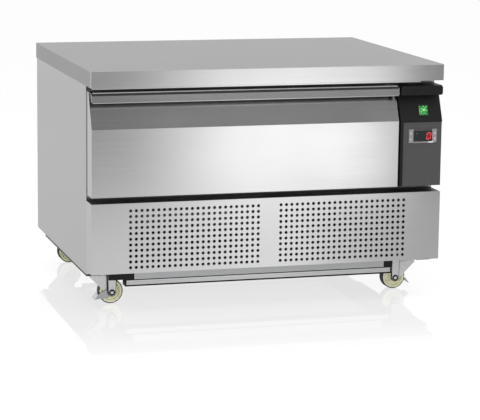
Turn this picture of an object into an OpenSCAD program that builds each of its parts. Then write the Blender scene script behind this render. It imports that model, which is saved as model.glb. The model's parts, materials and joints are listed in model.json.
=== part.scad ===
// Refrigerated drawer unit on casters: a drawer for food pans, a control box beside it,
// a machine space behind a perforated panel below, and a flat worktop over all.
// The origin is on the floor under the middle of the worktop. +X is right, +Y is back, +Z is up.

/* [Overall size] */
// Width over the worktop
unit_w = 900; // [880:1:1100]
// Depth over the worktop
unit_d = 692; // [680:1:800]
// Height from the floor to the worktop's upper face
unit_h = 593; // [590:1:680]

/* [Worktop] */
// Height of the worktop's edge
top_t = 40; // [30:1:50]
// Overhang of the worktop past the body
top_lap = 2; // [1:0.5:8]
// Slot between the drawer and the worktop
top_gap = 13; // [8:0.5:16]
// Radius of the worktop's upright corners
top_corner_r = 3; // [2:0.5:8]
// Width of the fold under the worktop's edge
top_return = 18; // [12:1:30]

/* [Body] */
// Thickness of the stainless sheet
sheet_t = 1.2; // [0.8:0.1:2]
// Thickness of the foam walls
foam_t = 50; // [44:1:54]
// Thickness of the inner liner
liner_t = 1; // [0.6:0.1:1.4]
// Distance from the drawer's face back to the body's front
front_setback = 60; // [58:1:70]
// Thickness of the base plate
base_t = 4; // [2:0.5:6]
// Width of the folds along the side panels
side_fold = 20; // [12:1:30]
// Distance from the body's back edge to the rear end of the tray below
tray_back = 94; // [80:1:110]

/* [Lower front panel] */
// Gap between the base plate and the lower panel
panel_lift = 10.5; // [8:0.5:24]
// Gap between the lower panel and the drawer
panel_gap = 15.5; // [10:0.5:24]
// Diameter of a vent hole
vent_d = 7.6; // [4:0.1:9]
// Pitch of the vent holes
vent_pitch = 14; // [12:0.5:20]
// Plain width between the two fields of holes
vent_middle = 58; // [40:1:90]
// Plain height under the lowest row of holes
vent_foot = 14.5; // [10:0.5:24]

/* [Drawer] */
// Height of the drawer front
drawer_h = 252; // [240:1:264]
// Height of the flat part of the drawer front, below the finger recess
flat_h = 165; // [150:1:180]
// Depth of the finger recess at the top of the drawer
recess_run = 37; // [30:1:40]
// Height of the handle lip
lip_h = 24; // [18:1:30]
// Thickness of the folded handle lip
lip_t = 3; // [2:0.5:4]
// Radius of the handle lip's lower corners
lip_r = 6; // [3:0.5:9]
// Distance by which the handle lip's lower edge stands in front of its upper edge
lip_lean = 2.5; // [0:0.5:4]
// Thickness of the control box's lip
grip_t = 7; // [5:0.5:8]
// Depth of the gasket and its air gap
gasket_d = 12; // [10:0.5:13]
// Width of the gasket
gasket_w = 13; // [10:0.5:15]
// Room behind the slides, up to the liner
slide_room = 24; // [12:1:40]
// Height of a slide
slide_h = 45; // [35:1:50]
// Thickness of the sheet of a slide
slide_t = 1.2; // [1:0.1:1.3]
// Width of a slide between the wall and the drawer frame
slide_w = 13; // [12.5:0.1:15]
// Height of the drawer frame's walls
frame_h = 60; // [54:1:80]
// Width of the rim that carries the pans
rim_w = 12; // [8:1:16]
// Width of the bar between the two pans
divider_w = 24; // [18:1:32]

/* [Control box] */
// Width of the control box
control_w = 110; // [104:1:130]
// Wall of the moulded control housing
housing_t = 2.5; // [2:0.1:3]
// Thickness of the control fascia
fascia_t = 3; // [2:0.1:4]
// Height of the control fascia
fascia_h = 161; // [150:1:163]
// Width of the thermostat's frame
thermo_w = 77; // [74:1:82]
// Height of the thermostat's frame
thermo_h = 36; // [33:1:40]
// Height of the thermostat's middle above the fascia's lower edge
thermo_z = 126; // [100:1:134]
// Width of the display window
display_w = 50; // [40:1:52]
// Height of the display window
display_h = 27; // [20:1:28]
// Side of a thermostat key
key_w = 6; // [4:0.5:7]
// Travel of a thermostat key
key_travel = 0.8; // [0.4:0.1:1]
// Width of the rocker switch's frame
switch_w = 28; // [26:0.5:32]
// Height of the rocker switch's frame
switch_h = 31; // [29:0.5:34]
// Distance from the middle of the switch to the body's right side
switch_in = 48; // [44:1:60]
// Tilt of the rocker each way
rocker_tilt = 6; // [3:0.5:7]

/* [Casters] */
// Diameter of a wheel
wheel_d = 62; // [58:1:66]
// Width of a wheel's tread
tread_w = 22; // [18:1:26]
// Length of a wheel's hub
hub_l = 30; // [27:0.5:34]
// Radius of a wheel's axle
axle_r = 6; // [4:0.5:7]
// Distance from a caster's swivel axis back to its axle
trail = 21; // [18:0.5:24]
// Room between a side panel's fold and the casters' nuts
nut_room = 5.5; // [1:0.5:10]
// Distance from the body's front edge back to the front swivel axes
caster_front_in = 70; // [60:1:80]
// Distance from the body's back edge in to the rear swivel axes
caster_rear_in = 54; // [50:1:60]
// Side of a caster's top plate
caster_plate_w = 60; // [56:1:66]
// Thickness of the sheet of a caster
caster_t = 2.5; // [2:0.1:3]
// Height of a caster's ball race
race_h = 5; // [4:0.5:7]
// Gap between a wheel and its fork's crown
crown_gap = 13; // [8:0.5:16]

/* [Machine space] */
// Distance from a swivel axis in to the end of the grey tray
tray_in = 68.5; // [64:0.5:90]
// Height of the grey tray
tray_h = 15; // [12:1:16]
// Height of the cross rails
rail_h = 11; // [9:0.5:16]
// Distance from a swivel axis in to the end of a cross rail
rail_in = 46.5; // [45:0.5:60]
// Height of the black strip under a cross rail
strip_h = 4; // [2:0.5:5]
// Height of the black strip between a cross rail and the tray
rail_seat = 3; // [2:0.5:4]
// Diameter of the compressor's shell
compressor_d = 150; // [120:1:160]
// Height of the compressor's shell
compressor_h = 136; // [110:1:140]
// Distance from the body's back edge to the compressor's axis
compressor_back = 284; // [270:1:300]
// Length of the condenser coil
condenser_l = 300; // [240:10:320]
// Height of the condenser coil
condenser_h = 144; // [132:1:152]
// Diameter of the condenser fan's blades
fan_d = 122; // [110:1:134]
// Radius of the refrigerant pipes
pipe_r = 4; // [3:0.5:5]
// Radius of the bore for the mains cable
cable_r = 5; // [4:0.5:6]

/* [Hidden] */
$fn = 48;
small_fn = 24;
// Clearance of a running fit, and the gap between faces that move past each other
fit = 0.05;
gap = 0.3;
// Depth by which a cutting shape passes a face
cut = 1;

half_w = unit_w / 2;
half_d = unit_d / 2;
top_z = unit_h - top_t;
body_x = half_w - top_lap;
inner_x = body_x - sheet_t;
body_back = half_d - top_lap;
face_y = -half_d;
body_front = face_y + front_setback;

bolt_r = 4;
bolt_off = 22;
nut_r = 1.5 * bolt_r;

plate_t = caster_t;
base_z = wheel_d + crown_gap + caster_t + race_h + plate_t;
base_top = base_z + base_t;

drawer_top = top_z - top_gap;
drawer_z = drawer_top - drawer_h;
fold_z = drawer_z + flat_h;
panel_top = drawer_z - panel_gap;
panel_z = base_top + panel_lift;
panel_h = panel_top - panel_z;

// The cold space behind the drawer, inside the foam
seal_lap = gasket_w + 4;
cold_z = drawer_z + seal_lap;
cold_top = top_z - foam_t;
cold_x = inner_x - foam_t;
cold_back = body_back - sheet_t - foam_t;
box_z = cold_z - foam_t;

side_gap = 1;
column_gap = 5;
drawer_x0 = -body_x + side_gap;
control_x0 = body_x - control_w;
drawer_x1 = control_x0 - column_gap;
open_x0 = -cold_x;
open_x1 = drawer_x1 - seal_lap - gasket_w - 16;
column_foam = 48;

slide_x0 = open_x0 + liner_t;
slide_x1 = open_x1 - liner_t;
frame_x0 = slide_x0 + slide_w;
frame_x1 = slide_x1 - slide_w;
frame_mid = (frame_x0 + frame_x1) / 2;
frame_t = 1.5;
skin_back = body_front - gasket_d;
plug_d = 24;
plug_y = skin_back + plug_d;
frame_top = cold_top - 17;
rim_z = frame_top - 10;
slide_z = frame_top - frame_h / 2;
slide_y0 = plug_y + gap;
slide_y1 = cold_back - liner_t - slide_room;

slant_run = recess_run;
slant_rise = drawer_top - fold_z;
slant_a = atan(slant_run / slant_rise);

switch_x = body_x - switch_in;
switch_z = fold_z + 0.28 * slant_rise;
rocker_w = switch_w - 6;
rocker_half = switch_h / 2 - 3.9;
rocker_depth = 6;
pin_r = 1.5;

bezel_proud = 2;
fascia_y = face_y + bezel_proud;
fascia_x0 = control_x0 + 7.5;
thermo_x = (fascia_x0 + body_x) / 2 + 0.75;
thermo_mid = drawer_z + thermo_z;
thermo_body_w = thermo_w - 6;
thermo_body_h = thermo_h - 7;
bezel_t = 1.5;
key_x = (thermo_w + display_w) / 4;
key_z = 7;
key_l = 4;

caster_x = body_x - side_fold - nut_room - nut_r - bolt_off;
caster_front_y = body_front + caster_front_in;
caster_rear_y = body_back - caster_rear_in;
tray_w = 2 * (caster_x - tray_in);
rail_l = 2 * (caster_x - rail_in);

tray_y0 = body_front + 5;
tray_y1 = body_back - tray_back;
tray_z = base_z - tray_h;
tray_lip = panel_lift - 2;
rail_z = tray_z - rail_seat - rail_h;
rail_d = 30;
cap_t = 3;
rear_notch = 110;

crown_z = wheel_d + crown_gap;
leg_y = hub_l / 2 + 0.5;
boss_r = 11;
crown_r = 24;
crown_out = 33;
king_r = 5;
race_r = 20;

coil_x0 = -30 - condenser_l;
coil_y0 = body_front + 20;
coil_d = 45;
coil_z = base_top + 4;
shroud_d = 30;
shroud_y = coil_y0 + coil_d + shroud_d;
fan_x = coil_x0 + condenser_l / 2;
fan_z = coil_z + condenser_h / 2;
compressor_x = 190;
compressor_y = body_back - compressor_back;
grommet_h = 8;
shell_z = base_top + grommet_h + 3;

evap_x = cold_x - liner_t - 4;
evap_d = 50;
evap_l = 280;
evap_h = 150;
evap_y0 = cold_back - liner_t - 102 - evap_l;
evap_z = cold_z + liner_t + 6;
evap_fan_d = 76;
evap_fan_y = evap_y0 + evap_l / 2;
evap_fan_z = cold_z + 62;
pass_x0 = evap_x - evap_d;
pass_x1 = evap_x;
cold_end = evap_y0 + evap_l + 3;
pass_y0 = cold_end + 10;
pass_y1 = pass_y0 + 40;
pipe_hot_z = shell_z + 78;
pipe_cold_z = coil_z + 24;

gland_x = 300;
gland_z = base_top + 40;
gland_r = 9;
gland_flange_r = 14;
gland_l = 14;

CORNERS = [
    ["fl", -1, caster_front_y],
    ["fr", 1, caster_front_y],
    ["rl", -1, caster_rear_y],
    ["rr", 1, caster_rear_y]];

// A box given by its two ends along each axis
module block(x, y, z) {
    translate([x[0], y[0], z[0]])
        cube([x[1] - x[0], y[1] - y[0], z[1] - z[0]]);
}

// A (y, z) outline drawn out along X
module along_x(x0, x1) {
    translate([x0, 0, 0])
        rotate([90, 0, 90])
            linear_extrude(x1 - x0)
                children();
}

// An (x, z) outline drawn out along Y
module along_y(y0, y1) {
    translate([0, y1, 0])
        rotate([90, 0, 0])
            linear_extrude(y1 - y0)
                children();
}

module rod_x(r, x0, x1) {
    translate([x0, 0, 0])
        rotate([0, 90, 0])
            cylinder(r = r, h = x1 - x0);
}

module rod_y(r, y0, y1) {
    translate([0, y1, 0])
        rotate([90, 0, 0])
            cylinder(r = r, h = y1 - y0);
}

module round_rect(w, h, r) {
    square([w - 2 * r, h], center = true);
    square([w, h - 2 * r], center = true);
    for (x = [-1, 1], y = [-1, 1])
        translate([x * (w / 2 - r), y * (h / 2 - r)])
            circle(r = r, $fn = small_fn);
}

// A rectangle with only its lower corners rounded
module tab_shape(x0, x1, z0, z1, r) {
    translate([x0, z0 + r])
        square([x1 - x0, z1 - z0 - r]);
    translate([x0 + r, z0])
        square([x1 - x0 - 2 * r, r + cut]);
    for (x = [x0 + r, x1 - r])
        translate([x, z0 + r])
            circle(r = r, $fn = small_fn);
}

// A slot with round ends, along the first axis
module slot(l, w) {
    square([l - w, w], center = true);
    for (x = [-1, 1])
        translate([x * (l - w) / 2, 0])
            circle(d = w, $fn = small_fn);
}

// A bent tube through a list of points, with a ball at each bend
module pipe(points, r) {
    for (i = [0 : len(points) - 2]) {
        run = points[i + 1] - points[i];
        l = norm(run);
        translate(points[i])
            rotate([0, acos(run[2] / l), atan2(run[1], run[0])])
                cylinder(r = r, h = l, $fn = small_fn);
    }
    for (i = [1 : 1 : len(points) - 2])
        translate(points[i])
            sphere(r = r, $fn = small_fn);
}

// Worktop: a folded tray of sheet, upside down, with four angle brackets welded inside its edge
bracket_w = 40;
bracket_l = 36;
bracket_t = 3;
bracket_y = [205, -198];

module worktop_brackets() {
    for (side = [-1, 1], y = bracket_y) {
        wall = side * (half_w - sheet_t);
        lip = wall - side * bracket_t;
        inner = wall - side * bracket_l;
        y_span = [y - bracket_w / 2, y + bracket_w / 2];
        z0 = top_z + sheet_t;
        block([min(wall, lip), max(wall, lip)], y_span, [z0, z0 + top_t - 3 * sheet_t - 6]);
        block([min(wall, inner), max(wall, inner)], y_span, [z0, z0 + bracket_t]);
    }
}

module worktop() {
    color("gainsboro") {
        difference() {
            translate([0, 0, top_z])
                linear_extrude(top_t)
                    round_rect(unit_w, unit_d, top_corner_r);
            translate([0, 0, top_z + sheet_t])
                linear_extrude(top_t - 2 * sheet_t)
                    square([unit_w - 2 * sheet_t, unit_d - 2 * sheet_t], center = true);
            translate([0, 0, top_z - cut])
                linear_extrude(sheet_t + 2 * cut)
                    square([unit_w - 2 * top_return, unit_d - 2 * top_return], center = true);
        }
        worktop_brackets();
    }
}

module worktop_core() {
    color("peru")
        difference() {
            block([-half_w + sheet_t, half_w - sheet_t], [-half_d + sheet_t, half_d - sheet_t],
                  [top_z + sheet_t, unit_h - sheet_t]);
            worktop_brackets();
        }
}

// Side panel: a sheet with folds inward at its top and foot
module side_panel(side) {
    x_span = side < 0 ? [-body_x, -body_x + side_fold] : [body_x - side_fold, body_x];
    shift = -side * sheet_t;
    color("silver")
        difference() {
            block(x_span, [body_front, body_back], [base_top, top_z]);
            block([x_span[0] + shift - (side > 0 ? cut : 0), x_span[1] + shift + (side < 0 ? cut : 0)],
                  [body_front - cut, body_back + cut], [base_top + sheet_t, top_z - sheet_t]);
        }
}

module side_panel_left() { side_panel(-1); }
module side_panel_right() { side_panel(1); }

// Front frame: one sheet round the drawer's opening and the machine space
frame_post = 42;
frame_foot = 6;

module front_frame() {
    color("lightgray")
        along_y(body_front, body_front + sheet_t)
            difference() {
                translate([-inner_x, base_top + sheet_t])
                    square([2 * inner_x, top_z - base_top - 2 * sheet_t]);
                translate([open_x0 + liner_t, cold_z + liner_t])
                    square([open_x1 - open_x0 - 2 * liner_t, cold_top - cold_z - 2 * liner_t]);
                translate([-inner_x + frame_post, base_top + frame_foot])
                    square([2 * (inner_x - frame_post), box_z - base_top - frame_foot]);
            }
}

module back_panel() {
    color("silver")
        block([-inner_x, inner_x], [body_back - sheet_t, body_back],
              [box_z, top_z - sheet_t]);
}

// Rear grille: banks of slots with round ends, and the hole of the cable gland
louvre_l = 70;
louvre_w = 6;
louvre_pitch = 14;
louvre_rows = 7;
louvre_banks = [-330, -235, -140, -45, 50, 145];

module rear_grille() {
    grille_z = base_top + sheet_t;
    mid_z = (grille_z + box_z) / 2;
    color("silver")
        along_y(body_back - sheet_t, body_back)
            difference() {
                translate([-inner_x, grille_z])
                    square([2 * inner_x, box_z - grille_z]);
                for (x = louvre_banks, i = [0 : louvre_rows - 1])
                    translate([x, mid_z + (i - (louvre_rows - 1) / 2) * louvre_pitch])
                        slot(louvre_l, louvre_w);
                translate([gland_x, gland_z])
                    circle(r = gland_r);
            }
}

module cable_gland() {
    color("dimgray")
        translate([gland_x, 0, gland_z])
            difference() {
                union() {
                    rod_y(gland_flange_r, body_back, body_back + 1.5);
                    rod_y(gland_r, body_back - gland_l, body_back + 1);
                    rod_y(gland_flange_r, body_back - sheet_t - 5, body_back - sheet_t, $fn = 6);
                }
                rod_y(cable_r, body_back - gland_l - cut, body_back + 1.5 + cut);
            }
}

// The cold space, drawn in by g on every side that the liner covers
module cold_space(g) {
    difference() {
        block([-cold_x + g, cold_x - g], [body_front + sheet_t - cut, cold_back - g],
              [cold_z + g, cold_top - g]);
        block([open_x1 - g, cold_x + cut], [body_front - 2 * cut, body_front + sheet_t + column_foam + g],
              [cold_z - cut, cold_top + cut]);
    }
}

module pipe_pass() {
    block([pass_x0, pass_x1], [pass_y0, pass_y1], [box_z - sheet_t - cut, cold_z + liner_t + cut]);
}

module foam_shell() {
    color("khaki")
        difference() {
            block([-inner_x, inner_x], [body_front + sheet_t, body_back - sheet_t],
                  [box_z, top_z - sheet_t]);
            cold_space(0);
            pipe_pass();
        }
}

module liner() {
    color("gainsboro")
        difference() {
            cold_space(0);
            cold_space(liner_t);
            block([-half_w, half_w], [body_front - 3 * cut, body_front + sheet_t],
                  [cold_z - cut, cold_top + cut]);
            pipe_pass();
        }
}

// Sheet under the foam, the ceiling of the machine space
module box_floor() {
    color("gray")
        difference() {
            block([-inner_x, inner_x], [body_front + sheet_t, body_back - sheet_t],
                  [box_z - sheet_t, box_z]);
            pipe_pass();
        }
}

// Base plate: cut back in front for the tray's lip and round the casters, and narrower behind
module base_plate() {
    lip_x = rail_l / 2 + 1;
    ear_x = caster_x + 17.5;
    notch_y = caster_front_y - caster_plate_w / 2 + 1;
    rear_in = 12;
    color("dimgray")
        difference() {
            union() {
                block([-body_x, body_x], [body_front, body_back - rear_notch],
                      [base_z, base_top]);
                block([-body_x + rear_in, body_x - rear_in], [body_front, body_back],
                      [base_z, base_top]);
            }
            block([-lip_x, lip_x], [body_front - cut, tray_y0 + sheet_t],
                  [base_z - cut, base_top + cut]);
            for (side = [-1, 1])
                block([min(side * lip_x, side * ear_x), max(side * lip_x, side * ear_x)],
                      [body_front - cut, notch_y], [base_z - cut, base_top + cut]);
            for (c = CORNERS)
                translate([c[1] * caster_x, c[2], base_z - cut])
                    bolt_holes(base_t + 2 * cut);
        }
}

// Tray: a shallow pan under the base plate, whose front wall stands up past the plate's edge
module base_tray() {
    color("gray")
        difference() {
            union() {
                block([-tray_w / 2, tray_w / 2], [tray_y0, tray_y1], [tray_z, base_z]);
                block([-tray_w / 2, tray_w / 2], [tray_y0, tray_y0 + sheet_t],
                      [tray_z, base_top + tray_lip]);
            }
            block([-tray_w / 2 + sheet_t, tray_w / 2 - sheet_t],
                  [tray_y0 + sheet_t, tray_y1 - sheet_t], [tray_z + sheet_t, base_z + cut]);
        }
}

// Cross rail: a hollow bar with two grooves along its front
module rail_shape() {
    wall = 2;
    groove = 2;
    difference() {
        square([rail_d, rail_h]);
        translate([wall + groove, wall])
            square([rail_d - 2 * wall - groove, rail_h - 2 * wall]);
        for (z = [0.32, 0.68])
            translate([-cut, z * rail_h - groove / 2])
                square([groove + cut, groove]);
    }
}

rail_front_y = tray_y0 + 3;
rail_rear_y = tray_y1 - 8 - rail_d;

module cross_rails() {
    color("whitesmoke")
        for (y = [rail_front_y, rail_rear_y])
            translate([0, y, rail_z])
                along_x(-rail_l / 2 + cap_t, rail_l / 2 - cap_t)
                    rail_shape();
}

// Black trim: strips over and under each rail, caps on its ends, and a corner piece at each end
// of the tray, which reaches out in front of the caster
module rail_end_caps() {
    corner_l = 18;
    corner_x = caster_x + 8;
    seat_in = 1;
    color("black") {
        for (y = [rail_front_y, rail_rear_y]) {
            block([-rail_l / 2, rail_l / 2], [y, y + rail_d], [rail_z - strip_h, rail_z]);
            block([-rail_l / 2, rail_l / 2], [y + seat_in, y + rail_d - seat_in],
                  [rail_z + rail_h, tray_z]);
            for (side = [-1, 1])
                translate([side * (rail_l / 2 - cap_t / 2), y + rail_d / 2, rail_z + rail_h / 2])
                    cube([cap_t, rail_d, rail_h], center = true);
        }
        for (side = [-1, 1]) {
            x_span = [min(side * tray_w / 2, side * corner_x), max(side * tray_w / 2, side * corner_x)];
            block(x_span, [tray_y0, tray_y0 + corner_l], [tray_z, base_z]);
            block(x_span, [tray_y0, tray_y0 + sheet_t], [base_z, base_top + tray_lip]);
        }
    }
}

// Lower front panel: a sheet with two fields of round holes, folded back to the body at its ends
vent_side = 96;
vent_cols = floor((body_x - vent_side - vent_middle / 2) / vent_pitch) + 1;
vent_rows = floor((panel_h - vent_foot - 14) / vent_pitch) + 1;

module lower_front_panel() {
    color("gainsboro") {
        for (side = [-1, 1])
            block([min(side * body_x, side * inner_x), max(side * body_x, side * inner_x)],
                  [face_y, body_front], [panel_z, panel_top]);
        along_y(face_y, face_y + sheet_t)
            difference() {
                translate([-inner_x, panel_z])
                    square([2 * inner_x, panel_h]);
                for (side = [-1, 1], i = [0 : vent_cols - 1], j = [0 : vent_rows - 1])
                    translate([side * (vent_middle / 2 + i * vent_pitch), panel_z + vent_foot + j * vent_pitch])
                        circle(d = vent_d, $fn = small_fn);
            }
    }
}

// Frame of the lower panel: a shelf along its top, with a flange down behind it
module lower_panel_frame() {
    shelf_y = face_y + sheet_t;
    flange_h = 10;
    color("dimgray") {
        block([-inner_x, inner_x], [shelf_y, body_front], [panel_top - sheet_t, panel_top]);
        block([-inner_x, inner_x], [shelf_y, shelf_y + sheet_t], [panel_top - flange_h, panel_top - sheet_t]);
    }
}

// Compressor: a drawn steel pot in two halves, welded at a flange, on a foot plate
foot_x = 92;
foot_y = 62;
foot_r = 12;

module compressor() {
    r = compressor_d / 2;
    dome = 34;
    mid = compressor_h * 0.52;
    arc = [for (a = [0 : 10 : 80]) [r - 6 + (0 - (r - 6)) * (1 - cos(a)) * 0.55 - 1, compressor_h - dome + dome * sin(a)]];
    color("black")
        translate([compressor_x, compressor_y, 0]) {
            translate([0, 0, shell_z])
                rotate_extrude($fn = 72)
                    polygon(concat(
                        [[0, 0], [r - 16, 0], [r - 5, 6], [r, 20], [r, mid - 2], [r + 5, mid - 2],
                         [r + 5, mid + 2], [r - 1, mid + 2]],
                        arc,
                        [[0, compressor_h]]));
            difference() {
                translate([0, 0, shell_z - 3])
                    linear_extrude(3)
                        round_rect(2 * (foot_x + foot_r), 2 * (foot_y + foot_r), foot_r);
                for (x = [-foot_x, foot_x], y = [-foot_y, foot_y])
                    translate([x, y, shell_z - 3 - cut])
                        cylinder(r = 4, h = 3 + 2 * cut, $fn = small_fn);
            }
        }
}

module compressor_mounts() {
    color("dimgray")
        for (x = [-foot_x, foot_x], y = [-foot_y, foot_y])
            translate([compressor_x + x, compressor_y + y, base_top])
                rotate_extrude($fn = 36)
                    polygon([[0, 0], [11, 0], [11, 3], [8, 4], [11, 5], [11, grommet_h],
                             [4, grommet_h], [4, grommet_h + 3], [7, grommet_h + 3],
                             [6, grommet_h + 5], [0, grommet_h + 5]]);
}

// A block of fins on a row of tubes, between two end plates
module fin_coil(l, d, h, rows) {
    plate = 1.5;
    pitch = 10;
    fin = 0.8;
    tube_r = 4;
    for (x = [0, l - plate])
        block([x, x + plate], [0, d], [0, h]);
    for (x = [pitch : pitch : l - pitch / 2])
        block([x, x + fin], [1, d - 1], [4, h - 4]);
    for (i = [0 : rows - 1], y = [0.3, 0.7])
        translate([0, y * d, (i + 0.5) * h / rows])
            rod_x(tube_r, -3, l + 3, $fn = small_fn);
}

module condenser_coil() {
    color("darkgray")
        translate([coil_x0, coil_y0, coil_z])
            fin_coil(condenser_l, coil_d, condenser_h, 4);
    color("gray")
        for (x = [coil_x0, coil_x0 + condenser_l - 12])
            block([x, x + 12], [coil_y0, coil_y0 + coil_d], [base_top, coil_z]);
}

// Fan shroud: a sheet hood from the coil to a round mouth
module condenser_shroud() {
    x_span = [coil_x0, coil_x0 + condenser_l];
    y_span = [coil_y0 + coil_d, shroud_y];
    z_span = [coil_z, coil_z + condenser_h];
    color("silver")
        difference() {
            block(x_span, y_span, z_span);
            block([x_span[0] + sheet_t, x_span[1] - sheet_t], [y_span[0] - cut, y_span[1] - sheet_t],
                  [z_span[0] + sheet_t, z_span[1] - sheet_t]);
            translate([fan_x, 0, fan_z])
                rod_y(fan_d / 2 + 3, y_span[1] - 2 * sheet_t, y_span[1] + cut);
        }
}

// Fan motor: a cup on four bent arms from a ring, with the shaft towards the ring
module fan_motor(ring_r, motor_r, motor_y, motor_l, shaft_y) {
    ring_t = 2;
    ring_w = 3;
    arm = 5;
    difference() {
        rod_y(ring_r + ring_w, 0, ring_t);
        rod_y(ring_r, -cut, ring_t + cut);
    }
    for (a = [45 : 90 : 315])
        rotate([0, a, 0]) {
            block([ring_r, ring_r + ring_w - 0.5], [ring_t, motor_y + 6], [-arm, arm]);
            block([motor_r - 3, ring_r + ring_w - 0.5], [motor_y + 3, motor_y + 6], [-arm, arm]);
        }
    rod_y(motor_r, motor_y, motor_y + motor_l);
    rod_y(motor_r * 0.6, motor_y + motor_l, motor_y + motor_l + 6);
    rod_y(3, shaft_y, motor_y);
}

// Fan blades: pitched blades on a hub, turning on the motor's shaft
module fan_blades(tip_r, hub_r, depth, blades, pitch) {
    chord = tip_r * 0.78;
    difference() {
        rod_y(hub_r, -depth / 2, depth / 2);
        rod_y(3 + fit, -depth / 2 - cut, depth / 2 + cut);
    }
    for (i = [0 : blades - 1])
        rotate([0, i * 360 / blades, 0])
            difference() {
                rotate([0, 0, pitch])
                    along_y(-0.8, 0.8)
                        intersection() {
                            circle(r = tip_r);
                            polygon([[-hub_r * 0.6, 0], [hub_r * 0.6, 0],
                                     [chord / 2, tip_r * 0.62], [chord * 0.36, tip_r * 1.1],
                                     [-chord / 2, tip_r * 1.1], [-chord * 0.55, tip_r * 0.6]]);
                        }
                rod_y(hub_r - 1, -depth, depth);
            }
}

condenser_motor_y = 23;
condenser_motor_r = 30;
condenser_motor_l = 42;
condenser_hub_r = 16;
condenser_blade_y = 5;
condenser_blade_l = 22;
evap_motor_y = 26;
evap_motor_r = 18;
evap_motor_l = 12;
evap_hub_r = 11;
evap_blade_y = 12;
evap_blade_l = 16;
blade_count = 5;

module condenser_motor() {
    color("dimgray")
        translate([fan_x, shroud_y, fan_z])
            fan_motor(fan_d / 2 + 3, condenser_motor_r, condenser_motor_y, condenser_motor_l, condenser_blade_y - 8);
}

module condenser_fan() {
    color("lightsteelblue")
        translate([fan_x, shroud_y + condenser_blade_y, fan_z])
            fan_blades(fan_d / 2, condenser_hub_r, condenser_blade_l, blade_count, 26);
}

// Pipes: hot gas to the condenser, liquid through the drier to the evaporator, and the return
module refrigerant_pipes() {
    shell_left = compressor_x - compressor_d / 2;
    shell_right = compressor_x + compressor_d / 2;
    coil_end = coil_x0 + condenser_l + 3;
    coil_y = coil_y0 + 0.3 * coil_d;
    riser_x = evap_x - 0.3 * evap_d;
    return_x = evap_x - 0.7 * evap_d;
    hot_x = shell_left - 50;
    drier_x = coil_end + 40;
    drier_r = 10;
    drier_y = [-200, -110];
    riser_z = evap_z + evap_h * 0.875;
    return_z = evap_z + evap_h * 0.125;
    row_hot = coil_z + condenser_h * 0.625;
    row_low = coil_z + condenser_h * 0.125;
    color("chocolate") {
        pipe([[shell_left, compressor_y, pipe_hot_z], [hot_x, compressor_y, pipe_hot_z],
              [hot_x, coil_y, pipe_hot_z], [hot_x, coil_y, row_hot],
              [coil_end, coil_y, row_hot]], pipe_r);
        pipe([[coil_end, coil_y, row_low], [drier_x, coil_y, row_low],
              [drier_x, pass_y1 - 12, row_low], [riser_x, pass_y1 - 12, row_low],
              [riser_x, pass_y1 - 12, riser_z], [riser_x, cold_end, riser_z]], pipe_r);
        translate([drier_x, 0, row_low])
            rod_y(drier_r, drier_y[0], drier_y[1]);
        pipe([[return_x, cold_end, return_z], [return_x, cold_end + 16, return_z],
              [return_x, cold_end + 16, pipe_hot_z], [return_x, compressor_y, pipe_hot_z],
              [shell_right, compressor_y, pipe_hot_z]], pipe_r);
    }
}

tray_x = [-330, -40];
tray_y = [body_back - 324, body_back - 134];
basin_h = 36;
basin_t = 2;

module evaporation_tray() {
    color("black")
        difference() {
            block(tray_x, tray_y, [base_top, base_top + basin_h]);
            block([tray_x[0] + basin_t, tray_x[1] - basin_t], [tray_y[0] + basin_t, tray_y[1] - basin_t],
                  [base_top + basin_t, base_top + basin_h + cut]);
        }
}

// Evaporator cover: a partition with the fan's guard and slots for the return air
cover_t = 1.2;
guard_w = 3;
return_l = 60;
return_w = 6;
return_pitch = 12;
return_slots = 8;

module evaporator_cover() {
    y_span = [body_front + sheet_t + column_foam + liner_t, cold_back - liner_t];
    guard_r = evap_fan_d / 2 + 4;
    color("gainsboro")
        along_x(slide_x1, slide_x1 + cover_t)
            difference() {
                translate([y_span[0], cold_z + liner_t])
                    square([y_span[1] - y_span[0], cold_top - cold_z - 2 * liner_t]);
                for (i = [0 : return_slots - 1])
                    translate([evap_y0 - 40 + i * return_pitch, evap_fan_z])
                        square([return_w, return_l], center = true);
                difference() {
                    translate([evap_fan_y, evap_fan_z])
                        circle(r = guard_r);
                    for (a = [0, 60, 120])
                        translate([evap_fan_y, evap_fan_z])
                            rotate(a)
                                square([2 * guard_r + cut, guard_w], center = true);
                    translate([evap_fan_y, evap_fan_z])
                        difference() {
                            circle(r = guard_r * 0.55);
                            circle(r = guard_r * 0.55 - guard_w);
                        }
                }
            }
}

module evaporator_coil() {
    color("darkgray") {
        translate([evap_x, evap_y0, evap_z])
            rotate([0, 0, 90])
                fin_coil(evap_l, evap_d, evap_h, 4);
        for (y = [evap_y0, evap_y0 + evap_l - 12])
            block([evap_x - evap_d, evap_x], [y, y + 12], [cold_z + liner_t, evap_z]);
    }
}

module evaporator_motor() {
    color("dimgray")
        translate([slide_x1 + cover_t, evap_fan_y, evap_fan_z])
            rotate([0, 0, -90])
                fan_motor(evap_fan_d / 2 + 3, evap_motor_r, evap_motor_y, evap_motor_l, evap_blade_y - 7);
}

module evaporator_fan() {
    color("white")
        translate([slide_x1 + cover_t + evap_blade_y, evap_fan_y, evap_fan_z])
            rotate([0, 0, -90])
                fan_blades(evap_fan_d / 2, evap_hub_r, evap_blade_l, blade_count, 24);
}

// Side outline of the drawer front and of the control housing: a flat face that slants back
function front_outline(g, y_back) = [
    [y_back, drawer_z + g],
    [face_y + g, drawer_z + g],
    [face_y + g, fold_z + g * tan(slant_a / 2)],
    [face_y + slant_run + g / cos(slant_a) - g * tan(slant_a), drawer_top - g],
    [y_back, drawer_top - g]];

// Handle lip, seen from the side: a sheet that folds forward, down and back on itself
// along a rounded hem. Its upper edge lies a bead's height under the top plate.
bead = 3.5;
bend_r = 2.5;
bead_y = face_y + lip_lean + 2 * bend_r;

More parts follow.
